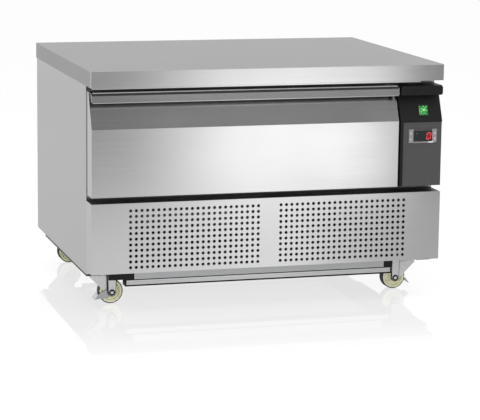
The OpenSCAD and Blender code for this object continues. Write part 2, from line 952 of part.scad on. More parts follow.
function arc(y, z, r, a0, a1) = [for (a = [a0 : 15 : a1]) [y + r * cos(a), z + r * sin(a)]];

function lip_side() = concat(
    [[bead_y + sheet_t, drawer_top - bead - sheet_t], [bead_y + sheet_t, drawer_top - bead]],
    arc(face_y + lip_lean + bend_r, drawer_top - bead - bend_r, bend_r, 90, 180),
    arc(face_y + lip_t / 2, drawer_top - lip_h + lip_t / 2, lip_t / 2, 180, 360),
    [[face_y + lip_lean + lip_t, drawer_top - bead - bend_r - sheet_t],
     [face_y + lip_lean + lip_t + 1, drawer_top - bead - sheet_t]]);

module handle_lip(x0, x1) {
    block([x0, x1], [bead_y, face_y + slant_run + sheet_t], [drawer_top - sheet_t, drawer_top]);
    block([x0, x1], [bead_y, bead_y + sheet_t], [drawer_top - bead - sheet_t, drawer_top]);
    intersection() {
        along_x(x0, x1)
            polygon(lip_side());
        along_y(face_y - cut, bead_y + 2 * cut)
            tab_shape(x0, x1, drawer_top - lip_h, drawer_top, lip_r);
    }
}

// Grip of the control housing: a thick rounded bar in line with the handle lip
module grip(x0, x1) {
    nose = grip_t / 2;
    block([x0, x1], [face_y + grip_t - 1, face_y + slant_run + housing_t],
          [drawer_top - housing_t, drawer_top]);
    intersection() {
        along_x(x0, x1)
            polygon(concat(
                arc(face_y + nose, drawer_top - nose, nose, 90, 180),
                arc(face_y + nose, drawer_top - lip_h + nose, nose, 180, 360),
                [[face_y + grip_t, drawer_top - 2 * nose], [face_y + grip_t + nose, drawer_top - housing_t],
                 [face_y + grip_t + nose, drawer_top]]));
        along_y(face_y - cut, face_y + grip_t + nose + cut)
            translate([(x0 + x1) / 2, drawer_top - lip_h / 2])
                round_rect(x1 - x0, lip_h, lip_r);
    }
}

// A frame of reference on the slanted face: x right, y inward, z up the slope
module on_slant(x, z) {
    translate([x, face_y + slant_run * (z - fold_z) / slant_rise, z])
        rotate([-slant_a, 0, 0])
            children();
}

// Control housing: a moulded shell with a recessed seat for the fascia and holes for the controls
module control_housing() {
    seat_y = fascia_y + fascia_t;
    fascia_top = drawer_z + fascia_h;
    color("black") {
        difference() {
            along_x(control_x0, body_x)
                polygon(front_outline(0, body_front));
            along_x(control_x0 + housing_t, body_x - housing_t)
                difference() {
                    polygon(front_outline(housing_t, body_front + cut));
                    translate([face_y, drawer_z])
                        square([seat_y + housing_t - face_y, fascia_h + housing_t]);
                }
            block([fascia_x0, body_x + cut], [face_y - cut, seat_y], [drawer_z - cut, fascia_top]);
            block([thermo_x - thermo_body_w / 2, thermo_x + thermo_body_w / 2],
                  [face_y - cut, seat_y + housing_t + cut],
                  [thermo_mid - thermo_body_h / 2, thermo_mid + thermo_body_h / 2]);
            on_slant(switch_x, switch_z)
                block([-switch_w / 2 + 1, switch_w / 2 - 1], [-cut, 2 * housing_t],
                      [-switch_h / 2 + 1, switch_h / 2 - 1]);
        }
        grip(control_x0, body_x);
    }
}

module control_fascia() {
    color("dimgray")
        along_y(fascia_y, fascia_y + fascia_t)
            difference() {
                translate([fascia_x0, drawer_z])
                    square([body_x - fascia_x0, fascia_h]);
                translate([thermo_x, thermo_mid])
                    square([thermo_body_w, thermo_body_h], center = true);
            }
}

// Thermostat: a thin frame in front of the fascia, its body behind, a window pocket and key wells
module thermostat_bezel() {
    bezel_y = fascia_y - bezel_t;
    body_l = 38;
    window_gap = 0.1;
    color("black")
        translate([thermo_x, 0, thermo_mid])
            difference() {
                union() {
                    along_y(bezel_y, fascia_y)
                        round_rect(thermo_w, thermo_h, 3);
                    block([-thermo_body_w / 2, thermo_body_w / 2], [bezel_y + bezel_t / 2, bezel_y + body_l],
                          [-thermo_body_h / 2, thermo_body_h / 2]);
                }
                along_y(bezel_y - cut, bezel_y + 1)
                    round_rect(display_w + 2 * window_gap, display_h + 2 * window_gap, 2);
                for (x = [-key_x, key_x], z = [-key_z, key_z])
                    translate([x, 0, z])
                        along_y(bezel_y - cut, face_y + key_l + key_travel + gap)
                            round_rect(key_w + 2 * gap, key_w + 2 * gap, 1.2);
            }
}

module display_window() {
    color("darkslategray")
        translate([thermo_x, 0, thermo_mid])
            along_y(fascia_y - bezel_t, fascia_y - bezel_t + 1)
                round_rect(display_w, display_h, 2);
}

module key(x, z) {
    color("gray")
        translate([thermo_x + x * key_x, 0, thermo_mid + z * key_z])
            along_y(face_y, face_y + key_l)
                round_rect(key_w, key_w, 1);
}

module key_up() { key(-1, 1); }
module key_down() { key(-1, -1); }
module key_set() { key(1, 1); }
module key_light() { key(1, -1); }

// Switch frame: a flange on the slanted face, four walls behind it and two bearings for the rocker
module switch_frame() {
    wall_gap = 0.1;
    out_w = switch_w - 2 - 2 * wall_gap;
    out_h = switch_h - 2 - 2 * wall_gap;
    in_w = rocker_w + 2 * gap;
    in_h = 2 * (rocker_half + 1.2);
    color("black")
        on_slant(switch_x, switch_z)
            difference() {
                union() {
                    along_y(-1.5, 0)
                        round_rect(switch_w, switch_h, 2);
                    along_y(-0.5, 18)
                        square([out_w, out_h], center = true);
                }
                along_y(-1.5 - cut, 16)
                    square([in_w, in_h], center = true);
                translate([0, rocker_depth, 0])
                    rod_x(pin_r + fit, -in_w / 2 - 1.2, in_w / 2 + 1.2);
            }
}

// Rocker: a dished key on two short pins, tipped to its lower side at rest
module rocker_switch() {
    color("limegreen")
        on_slant(switch_x, switch_z)
            translate([0, rocker_depth, 0])
                rotate([rocker_tilt, 0, 0])
                    translate([0, -rocker_depth, 0]) {
                        along_x(-rocker_w / 2, rocker_w / 2)
                            polygon([[-3.5, rocker_half], [-2.1, rocker_half / 2], [-1.6, 0],
                                     [-2.1, -rocker_half / 2], [-3.5, -rocker_half],
                                     [3, -rocker_half], [10, -3], [10, 3], [3, rocker_half]]);
                        translate([0, rocker_depth, 0])
                            rod_x(pin_r, -rocker_w / 2 - 1.2, rocker_w / 2 + 1.2);
                    }
}

// Slides: three channels inside one another, open towards each other, on both sides of the drawer
slide_gap = 0.5;

module channel_shape(u0, u1, half, web_at_start) {
    web0 = web_at_start ? u0 : u1 - slide_t;
    translate([web0, -half])
        square([slide_t, 2 * half]);
    for (z = [-half, half - slide_t])
        translate([u0, z])
            square([u1 - u0, slide_t]);
}

module slide_pair(y0, y1) {
    translate([slide_x0, 0, slide_z])
        along_y(y0, y1)
            children();
    translate([slide_x1, 0, slide_z])
        mirror([1, 0, 0])
            along_y(y0, y1)
                children();
}

slide_half = slide_h / 2;
slide_step = slide_t + slide_gap;

module slide_outers() {
    color("silver")
        slide_pair(slide_y0, slide_y1)
            channel_shape(0, slide_w - 2, slide_half, true);
}

module slide_middles() {
    color("gainsboro")
        slide_pair(slide_y0, slide_y1)
            channel_shape(slide_step, slide_w - 2, slide_half - slide_step, true);
}

module slide_inners() {
    color("silver")
        slide_pair(plug_y, slide_y1)
            channel_shape(2 * slide_step, slide_w, slide_half - 2 * slide_step, false);
}

// Drawer front: a folded skin with end plates, foam inside and the handle lip on top
module drawer_skin() {
    color("gainsboro") {
        difference() {
            along_x(drawer_x0, drawer_x1)
                polygon(front_outline(0, skin_back));
            along_x(drawer_x0 + sheet_t, drawer_x1 - sheet_t)
                polygon(front_outline(sheet_t, skin_back + cut));
        }
        handle_lip(drawer_x0, drawer_x1);
    }
}

module drawer_foam() {
    color("khaki")
        along_x(drawer_x0 + sheet_t, drawer_x1 - sheet_t)
            polygon(front_outline(sheet_t, skin_back - liner_t));
}

plug_gap = 6;

module drawer_plug() {
    color("whitesmoke") {
        block([drawer_x0 + sheet_t, drawer_x1 - sheet_t], [skin_back - liner_t, skin_back],
              [drawer_z + sheet_t, drawer_top - sheet_t]);
        block([open_x0 + plug_gap, open_x1 - plug_gap], [skin_back, plug_y],
              [cold_z + plug_gap, cold_top - plug_gap]);
    }
}

// One closed band round the drawer's opening
module gasket_band(grow, w, y0, y1) {
    along_y(y0, y1)
        difference() {
            translate([open_x0 - grow - w, cold_z - grow - w])
                square([open_x1 - open_x0 + 2 * (grow + w), cold_top - cold_z + 2 * (grow + w)]);
            translate([open_x0 - grow, cold_z - grow])
                square([open_x1 - open_x0 + 2 * grow, cold_top - cold_z + 2 * grow]);
        }
}

// Gasket: a foot in the plug's groove, a narrow bellows and a magnet bar that meets the frame
module drawer_gasket() {
    grow = 2;
    color("black") {
        gasket_band(grow, gasket_w, skin_back, skin_back + 3);
        gasket_band(grow + 2.5, gasket_w - 5, skin_back + 3, body_front - gap - 4);
        gasket_band(grow + 0.5, gasket_w - 1, body_front - gap - 4, body_front - gap);
    }
}

// Drawer frame: four walls and a rim that the pans' edges rest on
module drawer_frame() {
    w = frame_x1 - frame_x0;
    l = slide_y1 - plug_y;
    mid_y = (plug_y + slide_y1) / 2;
    color("silver")
        translate([frame_mid, mid_y, 0]) {
            translate([0, 0, frame_top - frame_h])
                linear_extrude(frame_h)
                    difference() {
                        square([w, l], center = true);
                        square([w - 2 * frame_t, l - 2 * frame_t], center = true);
                    }
            translate([0, 0, rim_z - frame_t])
                linear_extrude(frame_t)
                    difference() {
                        square([w - frame_t, l - frame_t], center = true);
                        square([w - 2 * (frame_t + rim_w), l - 2 * (frame_t + rim_w)], center = true);
                    }
        }
}

// Divider: a folded bar level with the rim, its webs running under the rim to the walls
module pan_divider() {
    web_h = 22;
    y0 = plug_y + frame_t;
    y1 = slide_y1 - frame_t;
    color("gainsboro") {
        block([frame_mid - divider_w / 2, frame_mid + divider_w / 2], [y0 + rim_w, y1 - rim_w],
              [rim_z - frame_t, rim_z]);
        for (side = [-1, 1])
            translate([frame_mid + side * (divider_w / 2 - frame_t / 2), 0, 0])
                block([-frame_t / 2, frame_t / 2], [y0, y1], [rim_z - frame_t - web_h, rim_z - frame_t]);
    }
}

// Casters: a bolted top plate with the fixed race and the king pin
module bolt_holes(h) {
    for (x = [-1, 1], y = [-1, 1])
        translate([x * bolt_off, y * bolt_off, 0])
            cylinder(r = bolt_r, h = h, $fn = small_fn);
}

module caster_plates() {
    color("silver")
        for (c = CORNERS)
            translate([c[1] * caster_x, c[2], 0]) {
                difference() {
                    translate([0, 0, base_z - plate_t])
                        linear_extrude(plate_t)
                            round_rect(caster_plate_w, caster_plate_w, 5);
                    translate([0, 0, base_z - plate_t - cut])
                        bolt_holes(plate_t + 2 * cut);
                }
                translate([0, 0, crown_z + caster_t + gap])
                    cylinder(r = race_r, h = race_h - gap);
                translate([0, 0, crown_z - gap])
                    cylinder(r = king_r, h = race_h + caster_t + gap);
                translate([0, 0, crown_z - gap - 2.4])
                    cylinder(r = king_r + 4, h = 2.4);
            }
}

module caster_bolts() {
    color("silver")
        for (c = CORNERS, x = [-1, 1], y = [-1, 1])
            translate([c[1] * caster_x + x * bolt_off, c[2] + y * bolt_off, 0]) {
                translate([0, 0, base_z - plate_t])
                    cylinder(r = bolt_r, h = plate_t + base_t, $fn = small_fn);
                translate([0, 0, base_z - plate_t - 4])
                    cylinder(r = bolt_r * 1.6, h = 4, $fn = 6);
                translate([0, 0, base_top])
                    cylinder(r = nut_r, h = 4, $fn = 6);
            }
}

// Leg outline of a fork: a leaning inner edge, a slanted outer edge and a round boss at the axle
module leg_shape() {
    axle_z = wheel_d / 2;
    inner = [-trail - boss_r / 2, crown_z + caster_t];
    outer = [crown_out, crown_z - 6];
    to_outer = outer - [-trail, axle_z];
    tangent = atan2(to_outer[1], to_outer[0]) - acos(boss_r / norm(to_outer));
    polygon([
        [-trail - boss_r, axle_z],
        inner,
        [crown_out, crown_z + caster_t],
        outer,
        [-trail + boss_r * cos(tangent), axle_z + boss_r * sin(tangent)],
        [-trail, axle_z]]);
    translate([-trail, axle_z])
        circle(r = boss_r);
}

// Fork with its axle: drawn for the right side, with +X away from the middle of the unit.
// A rib is pressed out of each leg, and a braked fork has room for the pedal on its +Y side.
rib_w = 14;
rib_t = 1.5;
pedal_t = 2;
pedal_y = hub_l / 2 + 0.5 + caster_t + gap;

module fork(c) {
    axle_z = wheel_d / 2;
    head_y = leg_y + caster_t;
    far_y = c[2] < 0 ? pedal_y + pedal_t + gap : head_y;
    color("lightgray")
        translate([c[1] * caster_x, c[2], 0])
            rotate([0, 0, c[1] < 0 ? 180 : 0]) {
                for (side = [-1, 1])
                    translate([0, side * (leg_y + caster_t / 2), 0])
                        along_y(-caster_t / 2, caster_t / 2)
                            leg_shape();
                along_y(-head_y - rib_t, -head_y)
                    polygon([[-trail - rib_w / 2, axle_z + boss_r], [-trail + rib_w / 2, axle_z + boss_r],
                             [-trail + rib_w / 2 + 3, crown_z - 2], [-trail - rib_w / 2 + 3, crown_z - 2]]);
                difference() {
                    union() {
                        block([-trail - boss_r / 2, crown_out], [-leg_y, leg_y], [crown_z, crown_z + caster_t]);
                        translate([0, 0, crown_z])
                            cylinder(r = crown_r, h = caster_t);
                        translate([0, 0, crown_z + caster_t])
                            difference() {
                                cylinder(r = race_r + 3, h = race_h - 1);
                                translate([0, 0, -cut])
                                    cylinder(r = race_r + 0.5, h = race_h + cut);
                            }
                    }
                    translate([0, 0, crown_z - cut])
                        cylinder(r = king_r + fit, h = caster_t + 2 * cut);
                }
                translate([-trail, 0, axle_z]) {
                    rod_y(axle_r, -head_y - 1, far_y + 1);
                    rod_y(axle_r * 1.6, -head_y - 5, -head_y, $fn = 6);
                    rod_y(axle_r * 1.6, far_y, far_y + 5, $fn = 6);
                }
            }
}

module fork_fl() { fork(CORNERS[0]); }
module fork_fr() { fork(CORNERS[1]); }
module fork_rl() { fork(CORNERS[2]); }
module fork_rr() { fork(CORNERS[3]); }

// Wheel: a cast nylon wheel with a long hub, a thin web and a broad tread with eased edges
module wheel(c) {
    r = wheel_d / 2;
    rim = 8;
    hub_r = 14;
    web = 5;
    ease = 2;
    color("beige")
        translate([c[1] * (caster_x - trail), c[2], r])
            rotate([90, 0, 0])
                rotate_extrude($fn = 96)
                    polygon([
                        [axle_r + fit, -hub_l / 2], [hub_r - 1, -hub_l / 2], [hub_r, -hub_l / 2 + 1],
                        [hub_r + 1, -web - 3], [r - rim - 2, -web], [r - rim, -tread_w / 2],
                        [r - ease, -tread_w / 2], [r - ease * 0.3, -tread_w / 2 + ease * 0.3],
                        [r, -tread_w / 2 + ease],
                        [r, tread_w / 2 - ease], [r - ease * 0.3, tread_w / 2 - ease * 0.3],
                        [r - ease, tread_w / 2], [r - rim, tread_w / 2],
                        [r - rim - 2, web], [hub_r + 1, web + 3],
                        [hub_r, hub_l / 2 - 1], [hub_r - 1, hub_l / 2], [axle_r + fit, hub_l / 2]]);
}

module wheel_fl() { wheel(CORNERS[0]); }
module wheel_fr() { wheel(CORNERS[1]); }
module wheel_rl() { wheel(CORNERS[2]); }
module wheel_rr() { wheel(CORNERS[3]); }

// Brake pedal: a notched plate on the axle beside the fork's leg, and a foot bent across the wheel
plate_r = 12;
pedal_top = [wheel_d / 2 + 3, -6];
pedal_tip = [pedal_top[0] + 9, -18];
foot_end = tread_w / 2 + 2;

module pedal(c) {
    heel = pedal_top[0] - 16;
    color("lightgray")
        translate([c[1] * caster_x, c[2], wheel_d / 2])
            rotate([0, 0, c[1] < 0 ? 180 : 0])
                translate([-trail, 0, 0]) {
                    along_y(pedal_y, pedal_y + pedal_t)
                        difference() {
                            union() {
                                circle(r = plate_r);
                                polygon([[0, plate_r * 0.8], [heel, 4], [pedal_top[0], pedal_top[1]],
                                         pedal_tip, [heel - 4, pedal_tip[1] + 3], [0, -plate_r * 0.8]]);
                            }
                            circle(r = axle_r + fit);
                            for (a = [40 : 50 : 290])
                                rotate(a)
                                    translate([plate_r, 0])
                                        circle(r = 2, $fn = small_fn);
                        }
                    along_y(-foot_end, pedal_y)
                        polygon([pedal_top, pedal_tip, pedal_tip - [pedal_t, 0], pedal_top - [pedal_t, 1]]);
                }
}

module pedal_fl() { pedal(CORNERS[0]); }
module pedal_fr() { pedal(CORNERS[1]); }

worktop();
worktop_core();
side_panel_left();
side_panel_right();
front_frame();
back_panel();
rear_grille();
cable_gland();
foam_shell();
liner();
box_floor();
base_plate();
base_tray();
cross_rails();
rail_end_caps();
lower_front_panel();
lower_panel_frame();
compressor();
compressor_mounts();
condenser_coil();
condenser_shroud();
condenser_motor();
condenser_fan();
refrigerant_pipes();
evaporation_tray();
evaporator_cover();
evaporator_coil();
evaporator_motor();
evaporator_fan();
control_housing();
control_fascia();
thermostat_bezel();
display_window();
key_up();
key_down();
key_set();
key_light();
switch_frame();
rocker_switch();
slide_outers();
slide_middles();
slide_inners();
drawer_skin();
drawer_foam();
drawer_plug();
drawer_gasket();
drawer_frame();
pan_divider();
caster_plates();
caster_bolts();
fork_fl();
fork_fr();
fork_rl();
fork_rr();
wheel_fl();
wheel_fr();
wheel_rl();
wheel_rr();
pedal_fl();
pedal_fr();
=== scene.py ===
"""Refrigerated drawer unit: the finish of every surface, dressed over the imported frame."""
import json
import math

import bmesh
import bpy
from bpy.props import FloatProperty, FloatVectorProperty, IntProperty, PointerProperty
from mathutils import Matrix, Vector


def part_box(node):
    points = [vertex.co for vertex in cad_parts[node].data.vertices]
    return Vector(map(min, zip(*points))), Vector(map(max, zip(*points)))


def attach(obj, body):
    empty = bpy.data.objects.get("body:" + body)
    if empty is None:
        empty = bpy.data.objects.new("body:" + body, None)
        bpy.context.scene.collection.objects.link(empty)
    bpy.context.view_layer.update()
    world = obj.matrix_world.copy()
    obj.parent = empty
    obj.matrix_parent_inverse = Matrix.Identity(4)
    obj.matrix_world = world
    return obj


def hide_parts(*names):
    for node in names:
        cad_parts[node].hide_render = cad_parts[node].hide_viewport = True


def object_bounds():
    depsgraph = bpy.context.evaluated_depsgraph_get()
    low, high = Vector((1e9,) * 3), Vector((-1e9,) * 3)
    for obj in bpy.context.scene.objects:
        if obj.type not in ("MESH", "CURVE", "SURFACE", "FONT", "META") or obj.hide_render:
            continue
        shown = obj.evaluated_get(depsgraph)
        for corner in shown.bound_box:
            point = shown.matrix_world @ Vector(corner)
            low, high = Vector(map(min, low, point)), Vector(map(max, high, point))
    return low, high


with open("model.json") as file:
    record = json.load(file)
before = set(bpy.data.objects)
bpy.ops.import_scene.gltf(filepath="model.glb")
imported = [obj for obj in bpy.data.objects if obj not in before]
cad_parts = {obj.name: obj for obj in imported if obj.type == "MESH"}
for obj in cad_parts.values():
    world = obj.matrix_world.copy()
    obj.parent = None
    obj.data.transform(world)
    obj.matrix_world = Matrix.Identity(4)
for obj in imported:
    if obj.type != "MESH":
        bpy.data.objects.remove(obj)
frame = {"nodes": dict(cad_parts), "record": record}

bl_info = {
    "name": "Refrigerated drawer unit",
    "version": (1, 0, 0),
    "blender": (4, 5, 0),
    "location": "View3D > Sidebar > Drawer unit",
    "description": "Dresses the drawer unit with its steel, plastic and rubber finishes",
    "category": "Object",
}

CAD_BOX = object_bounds()
NODES = frame["nodes"]
BODY_OF = {
    node: body
    for body, members in frame["record"]["behaviour"]["bodies"].items()
    for node in members
}
SLOT_OF = {part["node"]: part["material_slot"] for part in frame["record"]["subparts"]}
FRONT, FLOOR = CAD_BOX[0][1:]
TOP = CAD_BOX[1][2]
MM = 0.001


# Settings

def color_setting(name, description, default):
    return FloatVectorProperty(
        name=name, description=description, subtype="COLOR", size=3, min=0, max=1, default=default)


def size_setting(name, description, low, high, default):
    return FloatProperty(
        name=name, description=description, subtype="DISTANCE", unit="LENGTH", min=low, max=high,
        default=default)


class SteelFinish(bpy.types.PropertyGroup):
    """Colours and brushing of the stainless and plated metal."""

    worktop: color_setting("Worktop steel", "Colour of the worktop's sheet", (0.8, 0.8, 0.8))
    body: color_setting("Body steel", "Colour of the side panels and the lower panel", (0.8, 0.8, 0.805))
    drawer: color_setting("Drawer steel", "Colour of the drawer front", (0.82, 0.82, 0.825))
    zinc: color_setting("Zinc plate", "Colour of the casters' pressed steel", (0.88, 0.885, 0.89))
    roughness: FloatProperty(
        name="Roughness", description="Roughness of the brushed sheet",
        min=0.05, max=1, default=0.16)
    brushing: FloatProperty(
        name="Brushing", description="How much rougher the sheet is across the grain than along it",
        min=0, max=1, default=0.7)
    # Painted shade: the grazing tone dims the worktop's reflection on its top and ends
    grazing: FloatProperty(
        name="Grazing tone", description="How much of its reflection the worktop keeps at a low angle",
        min=0, max=1, default=0.5)
    grain_depth: FloatProperty(
        name="Grain depth", description="Strength of the brushed grain's relief",
        min=0, max=1, default=0.07)
    edge_radius: size_setting("Fold radius", "Radius of the folded sheet's outer edges", 0, 0.01, 0.0014)


class PlasticFinish(bpy.types.PropertyGroup):
    """Colours of the moulded and rubber pieces."""

    housing: color_setting("Housing black", "Colour of the moulded control housing", (0.007, 0.007, 0.0073))
    fascia: color_setting("Fascia grey", "Colour of the control fascia", (0.054, 0.054, 0.056))
    wheel: color_setting("Wheel nylon", "Colour of the caster wheels", (0.66, 0.66, 0.46))
    rocker: color_setting("Rocker green", "Colour of the lit rocker", (0.03, 0.24, 0.05))


class DisplaySizes(bpy.types.PropertyGroup):
    """Sizes of the marks on the thermostat."""

    digit_height: size_setting("Digit height", "Height of a display digit", 0.005, 0.022, 0.0155)
    segment_width: size_setting("Segment width", "Width of one segment of a digit", 0.0005, 0.004, 0.0021)
    slant: FloatProperty(
        name="Slant", description="Lean of the digits", subtype="ANGLE", min=0, max=0.4, default=0.14)


class FastenerSizes(bpy.types.PropertyGroup):
    """Sizes of the screws and the weld marks."""

    screw_radius: size_setting("Screw radius", "Radius of a panel screw's head", 0.002, 0.008, 0.004)
    weld_radius: size_setting("Weld radius", "Radius of a spot weld's mark", 0.001, 0.008, 0.0035)
    screw_count: IntProperty(
        name="Screws in a row", description="Screws along one edge of the back",
        min=2, max=20, default=6)


class StageSettings(bpy.types.PropertyGroup):
    """Floor, light and camera."""

    lens: FloatProperty(
        name="Lens", description="Focal length of the camera on a 36 mm sensor",
        min=20, max=400, default=154.3)
    key_power: FloatProperty(
        name="Key power", description="Power of the overhead soft light in watts, which the others follow",
        min=0, max=500, default=46)


# Node helpers

def new_tree(name, kind, inputs, outputs):
    """A node group with its inputs (name, type, default) and outputs (name, type), and its two ends."""
    tree = bpy.data.node_groups.new(name, kind)
    for label, socket_type, value in inputs:
        socket = tree.interface.new_socket(label, in_out="INPUT", socket_type="NodeSocket" + socket_type)
        if value is not None:
            socket.default_value = value
    for label, socket_type in outputs:
        tree.interface.new_socket(label, in_out="OUTPUT", socket_type="NodeSocket" + socket_type)
    return tree, tree.nodes.new("NodeGroupInput"), tree.nodes.new("NodeGroupOutput")


def set_inputs(tree, node, values):
    """Links or sets the node's inputs, given by name or number."""
    for key, value in values.items():
        if isinstance(value, bpy.types.NodeSocket):
            tree.links.new(value, node.inputs[key])
        else:
            node.inputs[key].default_value = value


def add(tree, kind, values=None, **settings):
    """A node of that kind with its settings and its inputs."""
    node = tree.nodes.new(kind)
    for key, value in settings.items():
        setattr(node, key, value)
    set_inputs(tree, node, values or {})
    return node


def noise(tree, vector, scale, detail=3.0, roughness=0.55):
    """Cloudy noise at a place, about 0.5 on average."""
    return add(tree, "ShaderNodeTexNoise", {
        "Vector": vector, "Scale": scale, "Detail": detail, "Roughness": roughness}).outputs["Fac"]


def spread(tree, value, low, high, from_low=0.0, from_high=1.0):
    """The value mapped from one range to another."""
    return add(tree, "ShaderNodeMapRange", {
        "Value": value, "From Min": from_low, "From Max": from_high,
        "To Min": low, "To Max": high}).outputs["Result"]


def step(tree, value, start, end):
    """0 up to the start and 1 from the end on; the start may be the higher one."""
    return spread(tree, value, 0.0, 1.0, start, end)


def math_node(tree, operation, a, b=0.0):
    return add(tree, "ShaderNodeMath", {0: a, 1: b}, operation=operation).outputs[0]


def product(tree, value, *factors):
    for factor in factors:
        value = math_node(tree, "MULTIPLY", value, factor)
    return value


def blend(tree, factor, low, high):
    """The low value where the factor is 0, the high one where it is 1."""
    mix = add(tree, "ShaderNodeMix", {"Factor": factor}, data_type="FLOAT")
    set_inputs(tree, mix, {2: low, 3: high})
    return mix.outputs[0]


SURFACE_OUTPUTS = [("Tone", "Float"), ("Roughness", "Float"), ("Normal", "Vector")]


def end_surface(tree, start, end, tone, rough, height, distance):
    """Feeds a surface group's outputs, with its relief on edges that are eased."""
    eased = add(tree, "ShaderNodeBevel", {"Radius": start.outputs["Edge"]}, samples=4)
    relief = add(tree, "ShaderNodeBump", {
        "Strength": start.outputs["Depth"], "Distance": distance, "Height": height,
        "Normal": eased.outputs["Normal"]})
    set_inputs(tree, end, {"Tone": tone, "Roughness": rough, "Normal": relief.outputs["Normal"]})


def build_brushed_grain():
    """Long fine scratches along one axis, with cloudy changes of tone over the sheet."""
    tree, start, end = new_tree("Brushed grain", "ShaderNodeTree", [
        ("Vector", "Vector", None), ("Stretch", "Vector", (0.02, 1.0, 1.0)), ("Scale", "Float", 900.0),
        ("Depth", "Float", 0.1), ("Roughness", "Float", 0.3), ("Edge", "Float", 0.001)], SURFACE_OUTPUTS)
    stretched = add(tree, "ShaderNodeVectorMath", {
        0: start.outputs["Vector"], 1: start.outputs["Stretch"]}, operation="MULTIPLY").outputs[0]
    fine = noise(tree, stretched, start.outputs["Scale"], 2.0)
    coarse = noise(tree, stretched, product(tree, start.outputs["Scale"], 0.16))
    cloud = noise(tree, start.outputs["Vector"], 5.0, 2.0)
    grain = blend(tree, 0.4, fine, coarse)
    tone = blend(tree, 0.45, grain, cloud)
    rough = product(tree, start.outputs["Roughness"], spread(tree, tone, 0.75, 1.25, 0.3, 0.7))
    end_surface(tree, start, end, tone, rough, grain, 0.0004)
    return tree


def build_moulded_skin():
    """Fine spark texture of a moulding, with a little dust and handling on it."""
    tree, start, end = new_tree("Moulded skin", "ShaderNodeTree", [
        ("Vector", "Vector", None), ("Scale", "Float", 1400.0), ("Depth", "Float", 0.25),
        ("Roughness", "Float", 0.45), ("Edge", "Float", 0.0006)], SURFACE_OUTPUTS)
    spark = noise(tree, start.outputs["Vector"], start.outputs["Scale"], 2.0, 0.7)
    handling = noise(tree, start.outputs["Vector"], 22.0)
    rough = product(tree, start.outputs["Roughness"], spread(tree, handling, 0.8, 1.2, 0.3, 0.7))
    end_surface(tree, start, end, handling, rough, spark, 0.0001)
    return tree


# Materials

GROUPS = {}
MATERIALS = {}


def material_base(name):
    """A new material: its tree, its shader and the place on the object."""
    mat = bpy.data.materials.new(name)
    mat.use_nodes = True
    tree = mat.node_tree
    MATERIALS[name] = mat
    return tree, tree.nodes["Principled BSDF"], tree.nodes.new("ShaderNodeTexCoord").outputs["Object"]


def toned(tree, tone, color, change):
    """The colour, a little darker and lighter where the tone is low and high."""
    ramp = add(tree, "ShaderNodeValToRGB", {"Fac": tone})
    for point, place, share in zip(ramp.color_ramp.elements, (0.32, 0.68), (1 - change, 1 + change)):
        point.position = place
        point.color = (*(min(1.0, max(0.0, channel * share)) for channel in color), 1)
    return ramp.outputs["Color"]


def shaded(tree, color, reach):
    """The colour with painted shade: darker where other surfaces stand close in front of it."""
    hollow = add(tree, "ShaderNodeAmbientOcclusion", {"Distance": reach}, samples=8)
    open_part = spread(tree, hollow.outputs["AO"], 0.2, 1.0, 0.35, 0.9)
    return add(tree, "ShaderNodeVectorMath", {0: color, "Scale": open_part}, operation="SCALE").outputs[0]


def coat(tree, shader, place, group, color, change, reach, values):
    """Feeds the shader's colour, roughness and normal from an effect group with its own values."""
    effect = add(tree, "ShaderNodeGroup", {"Vector": place, **values}, node_tree=GROUPS[group])
    tone = toned(tree, effect.outputs["Tone"], color, change)
    # Painted shade in the hollows within reach
    if reach:
        tone = shaded(tree, tone, reach)
    set_inputs(tree, shader, {
        "Base Color": tone, "Roughness": effect.outputs["Roughness"],
        "Normal": effect.outputs["Normal"]})


def metal(name, color, stretch, roughness, depth, edge=0.001, scale=900.0, change=0.07, metallic=1.0,
          brushing=0.0, across=(0.0, 0.0, 1.0), grazing=1.0, reach=0.0):
    """Steel, aluminium or painted metal, with its grain along the axis that stretch gives; reach and
    grazing paint shade into it.
    """
    tree, shader, place = material_base(name)
    if brushing:
        axis = add(tree, "ShaderNodeCombineXYZ", dict(enumerate(across)))
        turned = add(tree, "ShaderNodeVectorTransform", {0: axis.outputs[0]},
                     vector_type="VECTOR", convert_from="OBJECT", convert_to="WORLD")
        set_inputs(tree, shader, {"Tangent": turned.outputs[0], "Anisotropic": brushing})
    # Painted shade: the reflection is dimmed on faces that look up, down to the grazing share, and on faces
    # that look to the sides
    if grazing < 1:
        normal = tree.nodes.new("ShaderNodeNewGeometry").outputs["True Normal"]
        facing = add(tree, "ShaderNodeSeparateXYZ", {0: normal})
        upwards = spread(tree, facing.outputs["Z"], 0.85, grazing, 0.2, 0.8)
        sideways = math_node(tree, "ABSOLUTE", facing.outputs["X"])
        tint = product(tree, upwards, spread(tree, sideways, 1.0, 0.76, 0.5, 0.9))
        set_inputs(tree, shader, {"Specular Tint": tint})
    coat(tree, shader, place, "grain", color, change, reach, {
        "Stretch": stretch, "Scale": scale, "Depth": depth, "Roughness": roughness, "Edge": edge})
    set_inputs(tree, shader, {"Metallic": metallic})


def moulding(name, color, roughness, depth=0.25, edge=0.0006, scale=1400.0, change=0.12, specular=0.5):
    """Plastic, rubber or foam with the fine texture of its mould."""
    tree, shader, place = material_base(name)
    coat(tree, shader, place, "skin", color, change, 0, {
        "Scale": scale, "Depth": depth, "Roughness": roughness, "Edge": edge})
    set_inputs(tree, shader, {"Specular IOR Level": specular})


def glowing(tree, shader, color, strength, roughness):
    set_inputs(tree, shader, {
        "Base Color": color, "Emission Color": color, "Emission Strength": strength,
        "Roughness": roughness})


def lit(name, color, strength):
    """A lit plastic face: its own light, a little uneven, under a gloss."""
    tree, shader, place = material_base(name)
    facets = add(tree, "ShaderNodeTexVoronoi", {"Vector": place, "Scale": 420.0})
    glowing(tree, shader, toned(tree, facets.outputs["Distance"], color, 0.5), strength, 0.2)


